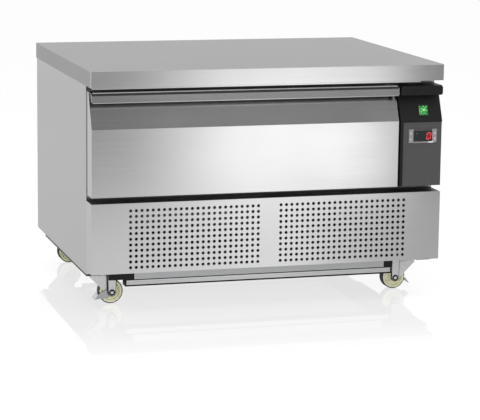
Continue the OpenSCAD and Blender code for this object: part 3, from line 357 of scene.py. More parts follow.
def lens(name, color, node):
    """A lit ribbed lens: bright in the middle of the node, in small facets that darken outwards."""
    tree, shader, place = material_base(name)
    low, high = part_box(node)
    radius = (high.x - low.x) / 2
    away = add(tree, "ShaderNodeVectorMath", {0: place, 1: (low + high) / 2}, operation="DISTANCE")
    facets = add(tree, "ShaderNodeTexVoronoi", {"Vector": place, "Scale": 330.0}).outputs["Distance"]
    near = spread(tree, away.outputs["Value"], 1.0, 0.3, 0.1 * radius, 1.3 * radius)
    ramp = add(tree, "ShaderNodeValToRGB", {
        "Fac": product(tree, near, spread(tree, facets, 1.3, 0.0, 0.1, 0.7))})
    points = ramp.color_ramp.elements
    points[0].color = (*(channel * 0.22 for channel in color), 1)
    points.new(0.4).color = (*color, 1)
    points[2].position = 0.85
    points[2].color = (color[0] + 0.3, color[1] + 0.42, color[2] + 0.26, 1)
    glowing(tree, shader, ramp.outputs["Color"], 0.75, 0.25)


def printed(name, ground, fields):
    """A dark moulding printed with fields (x from, x to, z from, z to, tone), given in metres."""
    tree, shader, place = material_base(name)
    soft = 0.4 * MM
    parts = add(tree, "ShaderNodeSeparateXYZ", {0: place})
    level = spread(tree, noise(tree, place, 60.0), ground * 0.85, ground * 1.15, 0.3, 0.7)
    for x0, x1, z0, z1, tone in fields:
        inside = 1.0
        for value, start, end in ((parts.outputs["X"], x0, x1), (parts.outputs["Z"], z0, z1)):
            inside = product(tree, inside, step(tree, value, start - soft, start + soft),
                             step(tree, value, end + soft, end - soft))
        speck = spread(tree, noise(tree, place, 420.0, 2.0), tone * 0.7, tone * 1.3, 0.35, 0.65)
        level = blend(tree, inside, level, speck)
    rough = spread(tree, noise(tree, place, 900.0, 2.0), 0.32, 0.48, 0.3, 0.7)
    set_inputs(tree, shader, {"Base Color": level, "Roughness": rough})


def thermostat_fields():
    """The light fields round the keys and the line under the window, as (x0, x1, z0, z1, tone)."""
    low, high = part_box("thermostat_bezel")
    glass_low, glass_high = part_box("display_window")
    rim = 1.4 * MM
    thin = 0.4 * rim
    bottom, top = low.z + rim, high.z - thin
    line_start, line_end = glass_high.x - 10.5 * MM, glass_high.x + 3.5 * MM
    return [(low.x + rim, glass_low.x, bottom, top, 0.21),
            (glass_high.x, high.x - rim, bottom, top, 0.21),
            (glass_low.x, glass_high.x, bottom - thin, glass_low.z, 0.17),
            (line_start, line_end, bottom - thin, glass_low.z, 0.55)]


def fins_dark_below(name, upper_tone, dust, low, high):
    """Fins in the upper tone above a height and in a dark tone below it; the dark lower part is painted
    shade for the unlit inside of the machine space.
    """
    tree, shader, place = material_base(name)
    height = add(tree, "ShaderNodeSeparateXYZ", {0: place}).outputs["Z"]
    edge = math_node(tree, "ADD", height, spread(tree, noise(tree, place, 90.0), -0.006, 0.006))
    share = step(tree, edge, low, high)
    fin_mottle = spread(tree, noise(tree, place, 700.0), 0.6, 1.4, 0.3, 0.7)
    set_inputs(tree, shader, {
        "Base Color": product(tree, blend(tree, share, dust, upper_tone), fin_mottle),
        "Metallic": share, "Roughness": blend(tree, share, 0.8, 0.35)})


def board(name, color):
    """Plywood: long streaks across the board."""
    tree, shader, place = material_base(name)
    streak = add(tree, "ShaderNodeVectorMath", {0: place, 1: (2.0, 40.0, 90.0)}, operation="MULTIPLY")
    tone = noise(tree, streak.outputs[0], 1.0, 4.0)
    set_inputs(tree, shader, {
        "Base Color": toned(tree, tone, color, 0.35), "Roughness": spread(tree, tone, 0.55, 0.8)})


ALONG_X = (0.015, 1.0, 1.0)
ALONG_Y = (1.0, 0.015, 1.0)
ALONG_Z = (1.0, 1.0, 0.015)
NO_GRAIN = (1.0, 1.0, 1.0)


def build_materials(steel, plastic):
    GROUPS["grain"] = build_brushed_grain()
    GROUPS["skin"] = build_moulded_skin()
    rough = steel.roughness
    sheet = {"depth": steel.grain_depth, "brushing": steel.brushing}
    metal("Worktop steel", steel.worktop, ALONG_X, rough, change=0.04, grazing=steel.grazing, **sheet)
    metal("Side steel", steel.body, ALONG_Z, rough * 1.3, change=0.05, across=(0.0, 1.0, 0.0), **sheet)
    # A reach paints shade into the metal's hollows, such as under the drawer's lip
    metal("Panel steel", steel.body, ALONG_X, rough * 1.15, edge=0.0002, change=0.04, reach=0.007, **sheet)
    metal("Drawer steel", steel.drawer, ALONG_X, rough, edge=0.0006, change=0.03, reach=0.022, **sheet)
    metal("Ridge steel", steel.drawer, ALONG_X, rough * 1.3, steel.grain_depth, edge=0.0003, change=0.03)
    metal("Liner steel", steel.body, ALONG_X, 0.22, 0.06, edge=0.002)
    metal("Galvanised sheet", (0.5, 0.52, 0.54), NO_GRAIN, 0.42, 0.05, scale=60.0, change=0.18)
    metal("Zinc plate", steel.zinc, NO_GRAIN, 0.3, 0.08, edge=0.0006, scale=150.0, change=0.12, reach=0.01)
    metal("Pedal steel", (0.62, 0.625, 0.63), NO_GRAIN, 0.3, 0.08, edge=0.0005, scale=150.0, change=0.12,
          reach=0.008)
    metal("Slide steel", (0.7, 0.71, 0.72), ALONG_Y, 0.24, 0.05, edge=0.0004)
    metal("Dark steel", (0.018, 0.018, 0.018), NO_GRAIN, 0.5, 0.1, scale=400.0, metallic=0.0)
    metal("Motor paint", (0.06, 0.06, 0.065), NO_GRAIN, 0.5, 0.1, scale=300.0, metallic=0.0)
    metal("Tray paint", (0.47, 0.475, 0.48), ALONG_X, 0.4, 0.05, metallic=0.5, reach=0.012)
    metal("Rail aluminium", (0.9, 0.905, 0.91), ALONG_X, 0.32, 0.06, edge=0.0004)
    metal("Coil aluminium", (0.8, 0.81, 0.82), ALONG_Z, 0.35, 0.05, edge=0.0002)
    # The condenser fins' dark lower part is painted shade
    fins_dark_below("Condenser fins", 0.75, 0.02, 0.182, 0.192)
    metal("Copper", (0.17, 0.085, 0.06), ALONG_X, 0.4, 0.05, scale=120.0, change=0.15)
    # Black of the dark rims and rings on the casters: painted shade
    metal("Rim shade black", (0.03, 0.03, 0.03), NO_GRAIN, 0.35, 0.05, edge=0.0003, scale=200.0)
    moulding("Housing plastic", plastic.housing, 0.5, specular=0.3)
    moulding("Bezel plastic", (0.014, 0.014, 0.015), 0.3, 0.1)
    printed("Thermostat face", 0.045, thermostat_fields())
    moulding("Fascia paint", plastic.fascia, 0.45, 0.12, scale=2400.0, change=0.04, specular=0.4)
    moulding("White plastic", (0.75, 0.75, 0.73), 0.35, 0.1, edge=0.003, change=0.03)
    moulding("Key plastic", (0.3, 0.305, 0.315), 0.4, 0.1, edge=0.0004)
    # The wheels' dark ring: painted shade
    moulding("Wheel edge shade", (0.02, 0.02, 0.019), 0.5, 0.2, edge=0.0006)
    moulding("Blade plastic", (0.26, 0.3, 0.34), 0.35, 0.1)
    moulding("Wheel nylon", plastic.wheel, 0.38, 0.15, edge=0.001, scale=500.0, change=0.08)
    # Black of the real gaskets, and of the two strips of painted shade at the drawer's top
    moulding("Gasket black and gap shade", (0.016, 0.016, 0.016), 0.6, 0.2, edge=0.0008)
    moulding("Foam", (0.72, 0.6, 0.32), 0.85, 0.6, scale=260.0)
    moulding("Display window", (0.012, 0.013, 0.016), 0.12, 0.0, edge=0.0003, change=0.03)
    moulding("Mark print", (0.5, 0.51, 0.53), 0.5, 0.0, change=0.06)
    lens("Rocker green", plastic.rocker, "rocker_switch")
    lit("Digit red", (0.4, 0.035, 0.04), 1.0)
    # Painted light: the glow round the lit digit
    lit("Digit glow", (0.13, 0.003, 0.004), 0.9)
    lit("Lamp green", (0.05, 0.3, 0.16), 0.35)
    board("Core board", (0.42, 0.27, 0.14))


SLOT_MATERIAL = {
    "stainless": "Panel steel", "galvanised": "Galvanised sheet", "zinc": "Zinc plate",
    "dark_steel": "Dark steel", "grey_paint": "Motor paint", "tray_grey": "Tray paint",
    "black_plastic": "Housing plastic", "white_plastic": "White plastic", "grey_plastic": "Key plastic",
    "blade_plastic": "Blade plastic", "rocker_green": "Rocker green", "display": "Display window",
    "nylon": "Wheel nylon", "gasket_rubber": "Gasket black and gap shade", "foam": "Foam", "board": "Core board",
    "aluminium": "Coil aluminium", "copper": "Copper",
}
NODE_MATERIAL = {
    "worktop": "Worktop steel", "side_panel_left": "Side steel", "side_panel_right": "Side steel",
    "back_panel": "Side steel", "drawer_skin": "Drawer steel", "liner": "Liner steel",
    "evaporator_cover": "Liner steel", "drawer_frame": "Liner steel", "pan_divider": "Liner steel",
    "slide_outers": "Slide steel", "slide_middles": "Slide steel", "slide_inners": "Slide steel",
    "control_fascia": "Fascia paint", "thermostat_bezel": "Thermostat face",
    "pedal_fl": "Pedal steel", "pedal_fr": "Pedal steel",
    "switch_frame": "Bezel plastic", "cross_rails": "Rail aluminium", "condenser_coil": "Condenser fins",
}


def finish_of(node):
    return MATERIALS[NODE_MATERIAL.get(node) or SLOT_MATERIAL[SLOT_OF[node]]]


def paint(obj, material):
    obj.data.materials.clear()
    obj.data.materials.append(material)


# Mesh helpers

def new_object(name, data):
    obj = bpy.data.objects.new(name, data)
    bpy.context.scene.collection.objects.link(obj)
    return obj


def mesh_from(bm, name):
    mesh = bpy.data.meshes.new(name)
    bm.to_mesh(mesh)
    bm.free()
    return mesh


def new_piece(name, mesh, body, slot, material, *replaced):
    """A finished piece: it rides on its body, takes the finish it is given and may stand for CAD nodes; its
    slot is not used.
    """
    obj = new_object(name, mesh)
    paint(obj, material)
    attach(obj, body)
    if replaced:
        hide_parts(*replaced)
    return obj


def baked_mesh(obj, name):
    """The object's evaluated mesh as a plain one; the object itself is removed."""
    depsgraph = bpy.context.evaluated_depsgraph_get()
    mesh = bpy.data.meshes.new_from_object(obj.evaluated_get(depsgraph))
    mesh.name = name
    bpy.data.objects.remove(obj)
    return mesh


def eased_node(node, name, radius, segments=2):
    """A copy of a CAD node with its triangles merged to faces and its edges rounded, in its place."""
    bm = bmesh.new()
    bm.from_mesh(NODES[node].data)
    bmesh.ops.remove_doubles(bm, verts=bm.verts, dist=1e-6)
    bmesh.ops.dissolve_limit(bm, angle_limit=math.radians(1), verts=bm.verts, edges=bm.edges)
    mesh = mesh_from(bm, name)
    mesh.shade_smooth()
    draft = new_object(name + "_draft", mesh)
    bevel = draft.modifiers.new("Edges", "BEVEL")
    bevel.width = radius
    bevel.segments = segments
    bevel.limit_method = "ANGLE"
    bevel.angle_limit = math.radians(20)
    bevel.use_clamp_overlap = True
    flatter = draft.modifiers.new("Flat faces", "WEIGHTED_NORMAL")
    flatter.weight = 100
    return new_piece(name, baked_mesh(draft, name), BODY_OF[node], SLOT_OF[node], finish_of(node), node)


def prism(bm, outline, base, normal, height, right):
    """A closed solid from an outline on a plane: points are along right and up from base."""
    up = normal.cross(right)
    near = [bm.verts.new(base + right * u + up * v) for u, v in outline]
    far = [bm.verts.new(base + right * u + up * v + normal * height) for u, v in outline]
    bm.faces.new(list(reversed(near)))
    bm.faces.new(far)
    for i in range(len(near)):
        j = (i + 1) % len(near)
        bm.faces.new((near[i], near[j], far[j], far[i]))


def revolved(profile, middle, count, axis_y=1.0):
    """A closed ring or cap from a profile of (radius, place along Y), turned about Y at the middle."""
    bm = bmesh.new()
    rings = []
    for i in range(count):
        turn = 2 * math.pi * i / count
        rings.append([bm.verts.new((middle[0] + r * math.cos(turn), middle[1] + axis_y * y,
                                    middle[2] + r * math.sin(turn))) for r, y in profile])
    for i in range(count):
        near, far = rings[i], rings[(i + 1) % count]
        for j in range(len(profile)):
            k = (j + 1) % len(profile)
            bm.faces.new((near[j], near[k], far[k], far[j]))
    bmesh.ops.remove_doubles(bm, verts=bm.verts, dist=1e-7)
    return bm


def circle_points(radius, count, start=0.0):
    turns = [start + 2 * math.pi * i / count for i in range(count)]
    return [(radius * math.cos(turn), radius * math.sin(turn)) for turn in turns]


def built_piece(name, bm, node, finish, smooth=False):
    """The mesh that was built, as a finished piece that moves with a CAD node."""
    bmesh.ops.recalc_face_normals(bm, faces=bm.faces)
    mesh = mesh_from(bm, name)
    if smooth:
        mesh.shade_smooth()
    new_piece(name, mesh, BODY_OF[node], SLOT_OF[node], MATERIALS[finish])


# Geometry Nodes

def studs_tree():
    """Round domed heads on every point of a mesh, set square to a given direction."""
    tree, start, end = new_tree("Studs", "GeometryNodeTree", [
        ("Points", "Geometry", None), ("Radius", "Float", 0.004), ("Height", "Float", 0.0015),
        ("Turn", "Vector", (0.0, 0.0, 0.0)), ("Finish", "Material", None)], [("Geometry", "Geometry")])
    head = add(tree, "GeometryNodeMeshUVSphere", {"Segments": 20, "Rings": 10, "Radius": 1.0})
    stretch = add(tree, "ShaderNodeCombineXYZ", {
        "X": start.outputs["Radius"], "Y": start.outputs["Radius"], "Z": start.outputs["Height"]})
    placed = add(tree, "GeometryNodeInstanceOnPoints", {
        "Points": start.outputs["Points"], "Instance": head.outputs["Mesh"],
        "Rotation": start.outputs["Turn"], "Scale": stretch.outputs[0]})
    real = add(tree, "GeometryNodeRealizeInstances", {"Geometry": placed.outputs[0]})
    smooth = add(tree, "GeometryNodeSetShadeSmooth", {"Geometry": real.outputs[0]})
    painted = add(tree, "GeometryNodeSetMaterial", {
        "Geometry": smooth.outputs[0], "Material": start.outputs["Finish"]})
    tree.links.new(painted.outputs[0], end.inputs[0])
    return tree


def run_tree(name, tree, points, values):
    """The mesh that a tree makes on a list of points."""
    mesh = bpy.data.meshes.new(name + "_points")
    mesh.from_pydata(points, [], [])
    carrier = new_object(name + "_points", mesh)
    modifier = carrier.modifiers.new("Repeat", "NODES")
    modifier.node_group = tree
    for item in tree.interface.items_tree:
        if item.in_out == "INPUT" and item.name in values:
            modifier[item.identifier] = values[item.name]
    return baked_mesh(carrier, name)


# Stage

def aim(obj, target):
    direction = Vector(target) - obj.location
    obj.rotation_euler = direction.to_track_quat("-Z", "Y").to_euler()


def soft_lamp(name, place, target, size, power):
    """A lamp of that width and height, which neither the camera nor a reflection shows."""
    lamp = bpy.data.lights.new(name, "AREA")
    lamp.shape = "RECTANGLE"
    lamp.size, lamp.size_y = size
    lamp.energy = power
    obj = new_object(name, lamp)
    obj.location = place
    aim(obj, target)
    obj.visible_camera = False
    obj.visible_glossy = False


# The camera as fitted to the photo: metres, degrees, and the picture's middle in its pixels
CAMERA_PLACE = (-1.4733, -5.1016, 1.1564)
CAMERA_YAW = 16.30
CAMERA_PITCH = 10.40
CAMERA_ROLL = 0.668
FRAME_WIDTH = 480
FRAME_HEIGHT = 420
IMAGE_CENTRE = (237.53, 209.37)


def build_camera(focal_length):
    data = bpy.data.cameras.new("Camera")
    data.sensor_width = 36
    data.lens = focal_length
    data.shift_x = (FRAME_WIDTH / 2 - IMAGE_CENTRE[0]) / FRAME_WIDTH
    data.shift_y = (IMAGE_CENTRE[1] - FRAME_HEIGHT / 2) / FRAME_WIDTH
    yaw, pitch, roll = (math.radians(a) for a in (CAMERA_YAW, CAMERA_PITCH, CAMERA_ROLL))
    ahead = Vector((math.sin(yaw) * math.cos(pitch), math.cos(yaw) * math.cos(pitch), -math.sin(pitch)))
    level = Vector((math.cos(yaw), -math.sin(yaw), 0))
    above = level.cross(ahead)
    right = level * math.cos(roll) + above * math.sin(roll)
    up = above * math.cos(roll) - level * math.sin(roll)
    turn = Matrix((right, up, -ahead)).transposed()
    camera = new_object("Camera", data)
    camera.matrix_world = Matrix.Translation(CAMERA_PLACE) @ turn.to_4x4()
    bpy.context.scene.camera = camera


def tone_ramp(tree, value, stops):
    """A tone that changes smoothly through the stops (place, tone)."""
    low, high = stops[0][0], stops[-1][0]
    peak = max(tone for _, tone in stops)
    ramp = add(tree, "ShaderNodeValToRGB", {"Fac": step(tree, value, low, high)})
    ramp.color_ramp.interpolation = "B_SPLINE"
    points = ramp.color_ramp.elements
    while len(points) < len(stops):
        points.new(0.5)
    for point, (place, tone) in zip(points, stops):
        point.position = (place - low) / (high - low)
        point.color = (tone / peak, tone / peak, tone / peak, 1)
    return product(tree, ramp.outputs["Color"], peak)


WHITE = (1, 1, 1, 1)


def shader_node(tree, kind, *values):
    """The output of a shader node whose first inputs have these values."""
    return add(tree, kind, dict(enumerate(values))).outputs[0]


def build_world():
    """White where the camera sees it; metal sees grey sides, a white back and two dark cards in front."""
    world = bpy.data.worlds.new("Studio")
    world.use_nodes = True
    tree = world.node_tree
    tree.nodes.clear()
    way = tree.nodes.new("ShaderNodeTexCoord").outputs["Generated"]
    parts = add(tree, "ShaderNodeSeparateXYZ", {0: way})
    across, along, raised = parts.outputs["X"], parts.outputs["Y"], parts.outputs["Z"]
    level = tone_ramp(tree, raised, [(0.0, 0.62), (0.5, 0.7), (1.0, 1.0)])
    back = tone_ramp(tree, raised, [(0.0, 0.84), (0.15, 0.92), (0.24, 1.0), (0.6, 0.95), (1.0, 1.0)])
    level = blend(tree, step(tree, along, 0.1, 0.6), level, back)
    # The cards fan out to the front right, one low and one high, with a gap between them
    ahead = product(tree, along, -1.0)
    slope = math_node(tree, "DIVIDE", across, math_node(tree, "MAXIMUM", ahead, 0.01))
    low_card = tone_ramp(tree, slope, [(0.18, 0.11), (0.26, 0.23), (0.32, 0.31), (0.38, 0.15)])
    high_card = tone_ramp(tree, slope, [
        (0.22, 0.12), (0.29, 0.185), (0.34, 0.225), (0.385, 0.26), (0.42, 0.24), (0.46, 0.18)])
    card = blend(tree, step(tree, raised, 0.2, 0.4), low_card, high_card)
    side = product(tree, step(tree, slope, 0.0, 0.14), step(tree, slope, 0.85, 0.6))
    apart = math_node(tree, "ADD", step(tree, raised, 0.28, 0.21), step(tree, raised, 0.38, 0.46))
    upright = product(tree, step(tree, raised, 0.85, 0.7), step(tree, ahead, 0.05, 0.2))
    level = blend(tree, product(tree, side, apart, upright), level, card)
    studio = shader_node(tree, "ShaderNodeBackground", level)
    white = shader_node(tree, "ShaderNodeBackground", WHITE, 1.0)
    seen = tree.nodes.new("ShaderNodeLightPath").outputs["Is Camera Ray"]
    mix = shader_node(tree, "ShaderNodeMixShader", seen, studio, white)
    tree.links.new(mix, tree.nodes.new("ShaderNodeOutputWorld").inputs[0])
    bpy.context.scene.world = world


# Where the camera's mirror image in the unit's front stands; the tones on the floor fan out from it
FAN_POINT = (CAMERA_PLACE[0], 2 * FRONT - CAMERA_PLACE[1])


def floor_card(tree, place):
    """What metal sees on the floor: tones that fan out in front, and plain grey at the sides and behind."""
    parts = add(tree, "ShaderNodeSeparateXYZ", {0: place})
    across, along = parts.outputs["X"], parts.outputs["Y"]
    depth = math_node(tree, "SUBTRACT", FAN_POINT[1], along)
    slope = math_node(tree, "DIVIDE", math_node(tree, "SUBTRACT", across, FAN_POINT[0]),
                      math_node(tree, "MAXIMUM", depth, 0.1))
    far = tone_ramp(tree, slope, [
        (0.20, 0.36), (0.23, 0.38), (0.245, 0.52), (0.262, 0.83), (0.282, 1.2), (0.30, 1.32),
        (0.335, 1.32), (0.36, 1.28), (0.378, 1.0), (0.391, 0.2), (0.405, 0.24), (0.42, 0.3)])
    near = tone_ramp(tree, slope, [
        (0.20, 0.68), (0.26, 0.72), (0.315, 0.98), (0.345, 0.66), (0.39, 0.42), (0.42, 0.5)])
    lost = blend(tree, step(tree, along, -6.5, -9.0), far, 0.26)
    front = blend(tree, step(tree, along, -1.78, -1.95), near, lost)
    behind = tone_ramp(tree, along, [(0.0, 0.56), (2.6, 0.6), (4.0, 0.56), (5.2, 0.62)])
    ahead = product(tree, step(tree, along, -0.4, -0.6), step(tree, across, -1.0, -0.6))
    return blend(tree, ahead, behind, front)


def floor_material():
    """Pale floor: white with a soft shadow and a faint mirror image; metal sees the card instead."""
    mat = bpy.data.materials.new("Studio floor")
    mat.use_nodes = True
    tree = mat.node_tree
    tree.nodes.clear()
    path = tree.nodes.new("ShaderNodeLightPath").outputs
    place = tree.nodes.new("ShaderNodeTexCoord").outputs["Object"]
    card = shader_node(tree, "ShaderNodeEmission", floor_card(tree, place), 1.0)
    matte = shader_node(tree, "ShaderNodeBsdfDiffuse", (0.7, 0.7, 0.7, 1))
    shade = shader_node(tree, "ShaderNodeBsdfDiffuse", (0.12, 0.12, 0.12, 1))
    glow = shader_node(tree, "ShaderNodeEmission", WHITE, 0.9)
    lifted = shader_node(tree, "ShaderNodeAddShader", shade, glow)
    mirror = shader_node(tree, "ShaderNodeBsdfGlossy", WHITE, 0.01)
    along = add(tree, "ShaderNodeSeparateXYZ", {0: place}).outputs["Y"]
    clear = spread(tree, along, 0.2, 0.0, FRONT - 0.1, FRONT - 0.65)
    camera_floor = shader_node(tree, "ShaderNodeMixShader", clear, lifted, mirror)
    plain = shader_node(tree, "ShaderNodeMixShader", path["Is Camera Ray"], matte, camera_floor)
    glossy = math_node(tree, "MAXIMUM", path["Is Glossy Ray"], path["Is Transmission Ray"])
    mix = shader_node(tree, "ShaderNodeMixShader", glossy, plain, card)
    tree.links.new(mix, tree.nodes.new("ShaderNodeOutputMaterial").inputs[0])
    return mat


# Pieces

FLOOR_HALF = 40.0


class UNIT_OT_stage(bpy.types.Operator):
    """Builds the floor, the world, the lamps and the camera"""

    bl_idname = "unit.stage"
    bl_label = "Stage"

    def execute(self, context):
        settings = context.scene.unit_stage
        bm = bmesh.new()
        corners = ((-1, -1), (1, -1), (1, 1), (-1, 1))
        bm.faces.new([bm.verts.new((x * FLOOR_HALF, y * FLOOR_HALF, FLOOR)) for x, y in corners])
        floor = new_object("Floor", mesh_from(bm, "Floor"))
        paint(floor, floor_material())
        build_world()
        power = settings.key_power
        middle = (0, 0, (FLOOR + TOP) / 2)
        soft_lamp("Overhead", (-0.3, -0.4, 3.0), middle, (3.2, 2.6), power)
        soft_lamp("Left_fill", (-3.2, -1.2, 1.6), middle, (2.0, 1.6), power * 0.5)
        soft_lamp("Right_fill", (2.6, -2.8, 1.2), middle, (2.0, 1.4), power * 0.45)
        soft_lamp("Front_fill", (-0.9, -3.2, 0.4), (0, 0, 0.1), (2.4, 0.6), power * 0.9)
        build_camera(settings.lens)
        context.scene.view_settings.view_transform = "Standard"
        return {"FINISHED"}


class UNIT_OT_finishes(bpy.types.Operator):
    """Builds the materials and gives each CAD node its own"""

    bl_idname = "unit.finishes"
    bl_label = "Finishes"

    def execute(self, context):
        build_materials(context.scene.unit_steel, context.scene.unit_plastic)
        for node, obj in NODES.items():
            paint(obj, finish_of(node))
        return {"FINISHED"}


# How far the upper corners of the trim reach past the tray at each end; the stretched corners are painted
# shade for the shadowed gap behind the tray's ends
CORNER_SHADE_LEFT = 64 * MM
CORNER_SHADE_RIGHT = 24 * MM
# Sections in millimetres back and up, from the worktop's lower front edge or the drawer's upper one
FOLD = [(0.6, 0.3), (0.6, -2.6), (1.2, -3.4), (2.4, -3.4), (2.4, 0.3)]
RIDGE = [(5.6, -1.0), (6.0, 0.0), (7.4, 2.2), (8.6, 2.2), (8.6, -0.1), (7.6, -0.1), (7.6, -1.0)]
# A dark strip under the drawer's ridge: painted shade for the shadow line below it
LIP_SHADOW = [(2.1, -5.8), (2.5, -3.0), (3.4, -1.8), (5.0, -1.1), (7.6, -1.1), (7.6, -3.6), (4.8, -3.6),
          (3.4, -4.2), (2.6, -5.8)]


class UNIT_OT_sheet_metal(bpy.types.Operator):
    """Rounds the folded edges of the worktop, the panels and the drawer front"""

    bl_idname = "unit.sheet_metal"
    bl_label = "Sheet metal"

    def execute(self, context):
        radius = context.scene.unit_steel.edge_radius
        eased_node("worktop", "Worktop", radius * 1.2, 3)
        eased_node("side_panel_left", "Side_panel_left", radius * 0.35)
        eased_node("side_panel_right", "Side_panel_right", radius * 0.35)
        eased_node("drawer_skin", "Drawer_skin", radius * 0.2)
        self.stretch_tray_caps()
        self.gap_strips()
        return {"FINISHED"}

    def stretch_tray_caps(self):
        """The black end caps at the tray's ends, whose upper corners are stretched to where the forks' legs
        begin; the stretched corners are painted shade for the shadowed gap behind.
        """
        trim = eased_node("rail_end_caps", "Tray_caps_and_shade", 0.2 * MM)
        trim_low, trim_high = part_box("rail_end_caps")
        tray_low, tray_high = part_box("base_tray")
        left, right = tray_low.x - CORNER_SHADE_LEFT, tray_high.x + CORNER_SHADE_RIGHT
        for vertex in trim.data.vertices:
            if vertex.co.z < tray_low.z - 1 * MM:
                continue
            if vertex.co.x > right:
                vertex.co.x = right + (vertex.co.x - trim_high.x)
            elif vertex.co.x < left:
                vertex.co.x = left + (vertex.co.x - trim_low.x)

    def gap_strips(self):
        """The worktop's lower fold and a dark strip behind it, and below them the drawer's ridge and a dark
        strip under it; the two dark strips are painted shade, for the gap under the worktop and the shadow
        line under the ridge.
        """
        top_low, top_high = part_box("worktop")
        skin_low, skin_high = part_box("drawer_skin")
        gap_shade_foot = (skin_high.z - top_low.z) / MM + 3.8
        gap_shade = [(20, 0), (20, gap_shade_foot), (22, gap_shade_foot), (22, 0)]
        under, lip = (top_low.y, top_low.z), (skin_low.y, skin_high.z)
        strips = [
            ("Worktop_fold", "worktop", "Drawer steel", under, FOLD,
             top_low.x + 4 * MM, top_high.x - 62 * MM),
            # A dark strip hung in the gap under the worktop: painted shade
            ("Header_gap_shade", "worktop", "Gasket black and gap shade", under, gap_shade,
             top_low.x + 8 * MM, skin_high.x),
            ("Drawer_ridge", "drawer_skin", "Ridge steel", lip, RIDGE,
             skin_low.x + 4 * MM, skin_high.x - 4 * MM),
            # Painted shade under the ridge
            ("Lip_shadow_strip", "drawer_skin", "Gasket black and gap shade", lip, LIP_SHADOW,
             skin_low.x + 1.5 * MM, skin_high.x - 1.5 * MM)]
        for name, node, finish, (y, z), outline, start, end in strips:
            bm = bmesh.new()
            prism(bm, [(y + u * MM, z + v * MM) for u, v in outline], Vector((start, 0, 0)),
                  Vector((1, 0, 0)), end - start, Vector((0, 1, 0)))
            built_piece(name, bm, node, finish)


CORNERS = ("fl", "fr", "rl", "rr")
BRAKED = ("fl", "fr")
# The wheel's rim, and the dark ring round it, painted shade for the shadow line at the wheel's edge, with
# its edge (down, inward) in parts of its easing
RIM = 2.6 * MM
RIM_SUNK = 0.15 * MM
SHADE_RING_PROUD = 0.05 * MM
SHADE_RING_EASE = 2 * MM
SHADE_RING_EDGE = [(1.3, 0), (1, 0), (0.3, 0.3), (0, 1)]
# The fork's pressed legs, which leave room to the bolts, and the dark rim round each, painted shade for the
# shadow line round the leg
LEG_HALF = 8.5 * MM
LEG_PROUD = 1.4 * MM
LEG_FLARE = 1.5 * MM
LEG_SUNK = 0.2 * MM
LEG_SHADE_HALF = 9.9 * MM
LEG_SHADE_PROUD = 0.25 * MM
BOLT_ROOM = 0.6 * MM
# Sections in millimetres: the radius, and the depth in the leg's face, below 0 where it stands proud
# The dark ring round the axle's cap is painted shade
AXLE_SHADE_RING = [(4.2, 0.1), (7.9, 0.1), (7.9, -0.3), (7.5, -0.5), (4.2, -0.5)]
AXLE_DOME = [(0.0, 0.1), (4.4, 0.1), (4.4, -0.7), (3.6, -1.3), (2.0, -1.7), (0.0, -1.8)]


class UNIT_OT_casters(bpy.types.Operator):
    """Eases the casters' pressed steel and gives the wheels a dark ring of painted shade and the axles
    their caps
    """

    bl_idname = "unit.casters"
    bl_label = "Casters"

    def execute(self, context):
        for corner in CORNERS:
            eased_node("fork_" + corner, "Fork_" + corner, 0.5 * MM)
            self.wheel(corner)
            self.hardware(corner)
        for corner in BRAKED:
            eased_node("pedal_" + corner, "Pedal_" + corner, 0.4 * MM)
        return {"FINISHED"}

    def wheel(self, corner):
        """The wheel with its rim sunk under a dark ring of painted shade."""
        node = "wheel_" + corner
        low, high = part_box(node)
        middle = (low + high) / 2
        radius = (high.z - low.z) / 2
        wheel = eased_node(node, "Wheel_" + corner, 0.5 * MM)
        half = 0.0
        for vertex in wheel.data.vertices:
            across = Vector((vertex.co.x - middle.x, 0, vertex.co.z - middle.z))
            if across.length > radius - RIM:
                half = max(half, abs(vertex.co.y - middle.y))
                vertex.co -= across.normalized() * RIM_SUNK
        half += SHADE_RING_PROUD
        edge = [(radius - down * SHADE_RING_EASE, inward * SHADE_RING_EASE - half) for down, inward in SHADE_RING_EDGE]
        profile = edge + [(r, -y) for r, y in reversed(edge)]
        built_piece("Wheel_shade_ring_" + corner, revolved(profile, middle, 96), node, "Wheel edge shade", smooth=True)

    def hardware(self, corner):
        """On each face of the fork a pressed leg in a dark rim, and on it the axle's dark ring and its cap;
        the rim and the ring are painted shade.
        """
        fork = "fork_" + corner
        low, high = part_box(fork)
        wheel_low, wheel_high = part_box("wheel_" + corner)
        middle = (wheel_low + wheel_high) / 2
        leg_shades, legs, rings, caps = (bmesh.new() for _ in range(4))
        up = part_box("caster_bolts")[0].z - BOLT_ROOM - middle.z
        for side, face in ((-1, low.y), (1, high.y)):
            place = Vector((middle.x, face, middle.z))
            for target, half, height in ((leg_shades, LEG_SHADE_HALF, LEG_SHADE_PROUD), (legs, LEG_HALF, LEG_PROUD)):
                outline = circle_points(half, 28, math.pi)[:15]
                outline += [(half + LEG_FLARE, up), (-half - LEG_FLARE, up)]
                prism(target, outline, place - Vector((0, side * LEG_SUNK, 0)), Vector((0, side, 0)),
                      height + LEG_SUNK, Vector((-side, 0, 0)))
            place.y += side * LEG_PROUD
            for shape, target in ((AXLE_SHADE_RING, rings), (AXLE_DOME, caps)):
                part = mesh_from(revolved([(r * MM, y * MM) for r, y in shape], place, 32, -side), "part")
                target.from_mesh(part)
                bpy.data.meshes.remove(part)
        built_piece("Fork_leg_shade_" + corner, leg_shades, fork, "Rim shade black")
        built_piece("Fork_leg_" + corner, legs, fork, "Zinc plate")
        built_piece("Axle_shade_ring_" + corner, rings, fork, "Rim shade black")
        built_piece("Axle_cap_" + corner, caps, fork, "Zinc plate", smooth=True)


# A mark's height from its back, which lies a little way inside the face
DIGIT_HEIGHT = 0.2 * MM
PRINT_HEIGHT = 0.12 * MM
PRINT_SUNK = 0.05 * MM
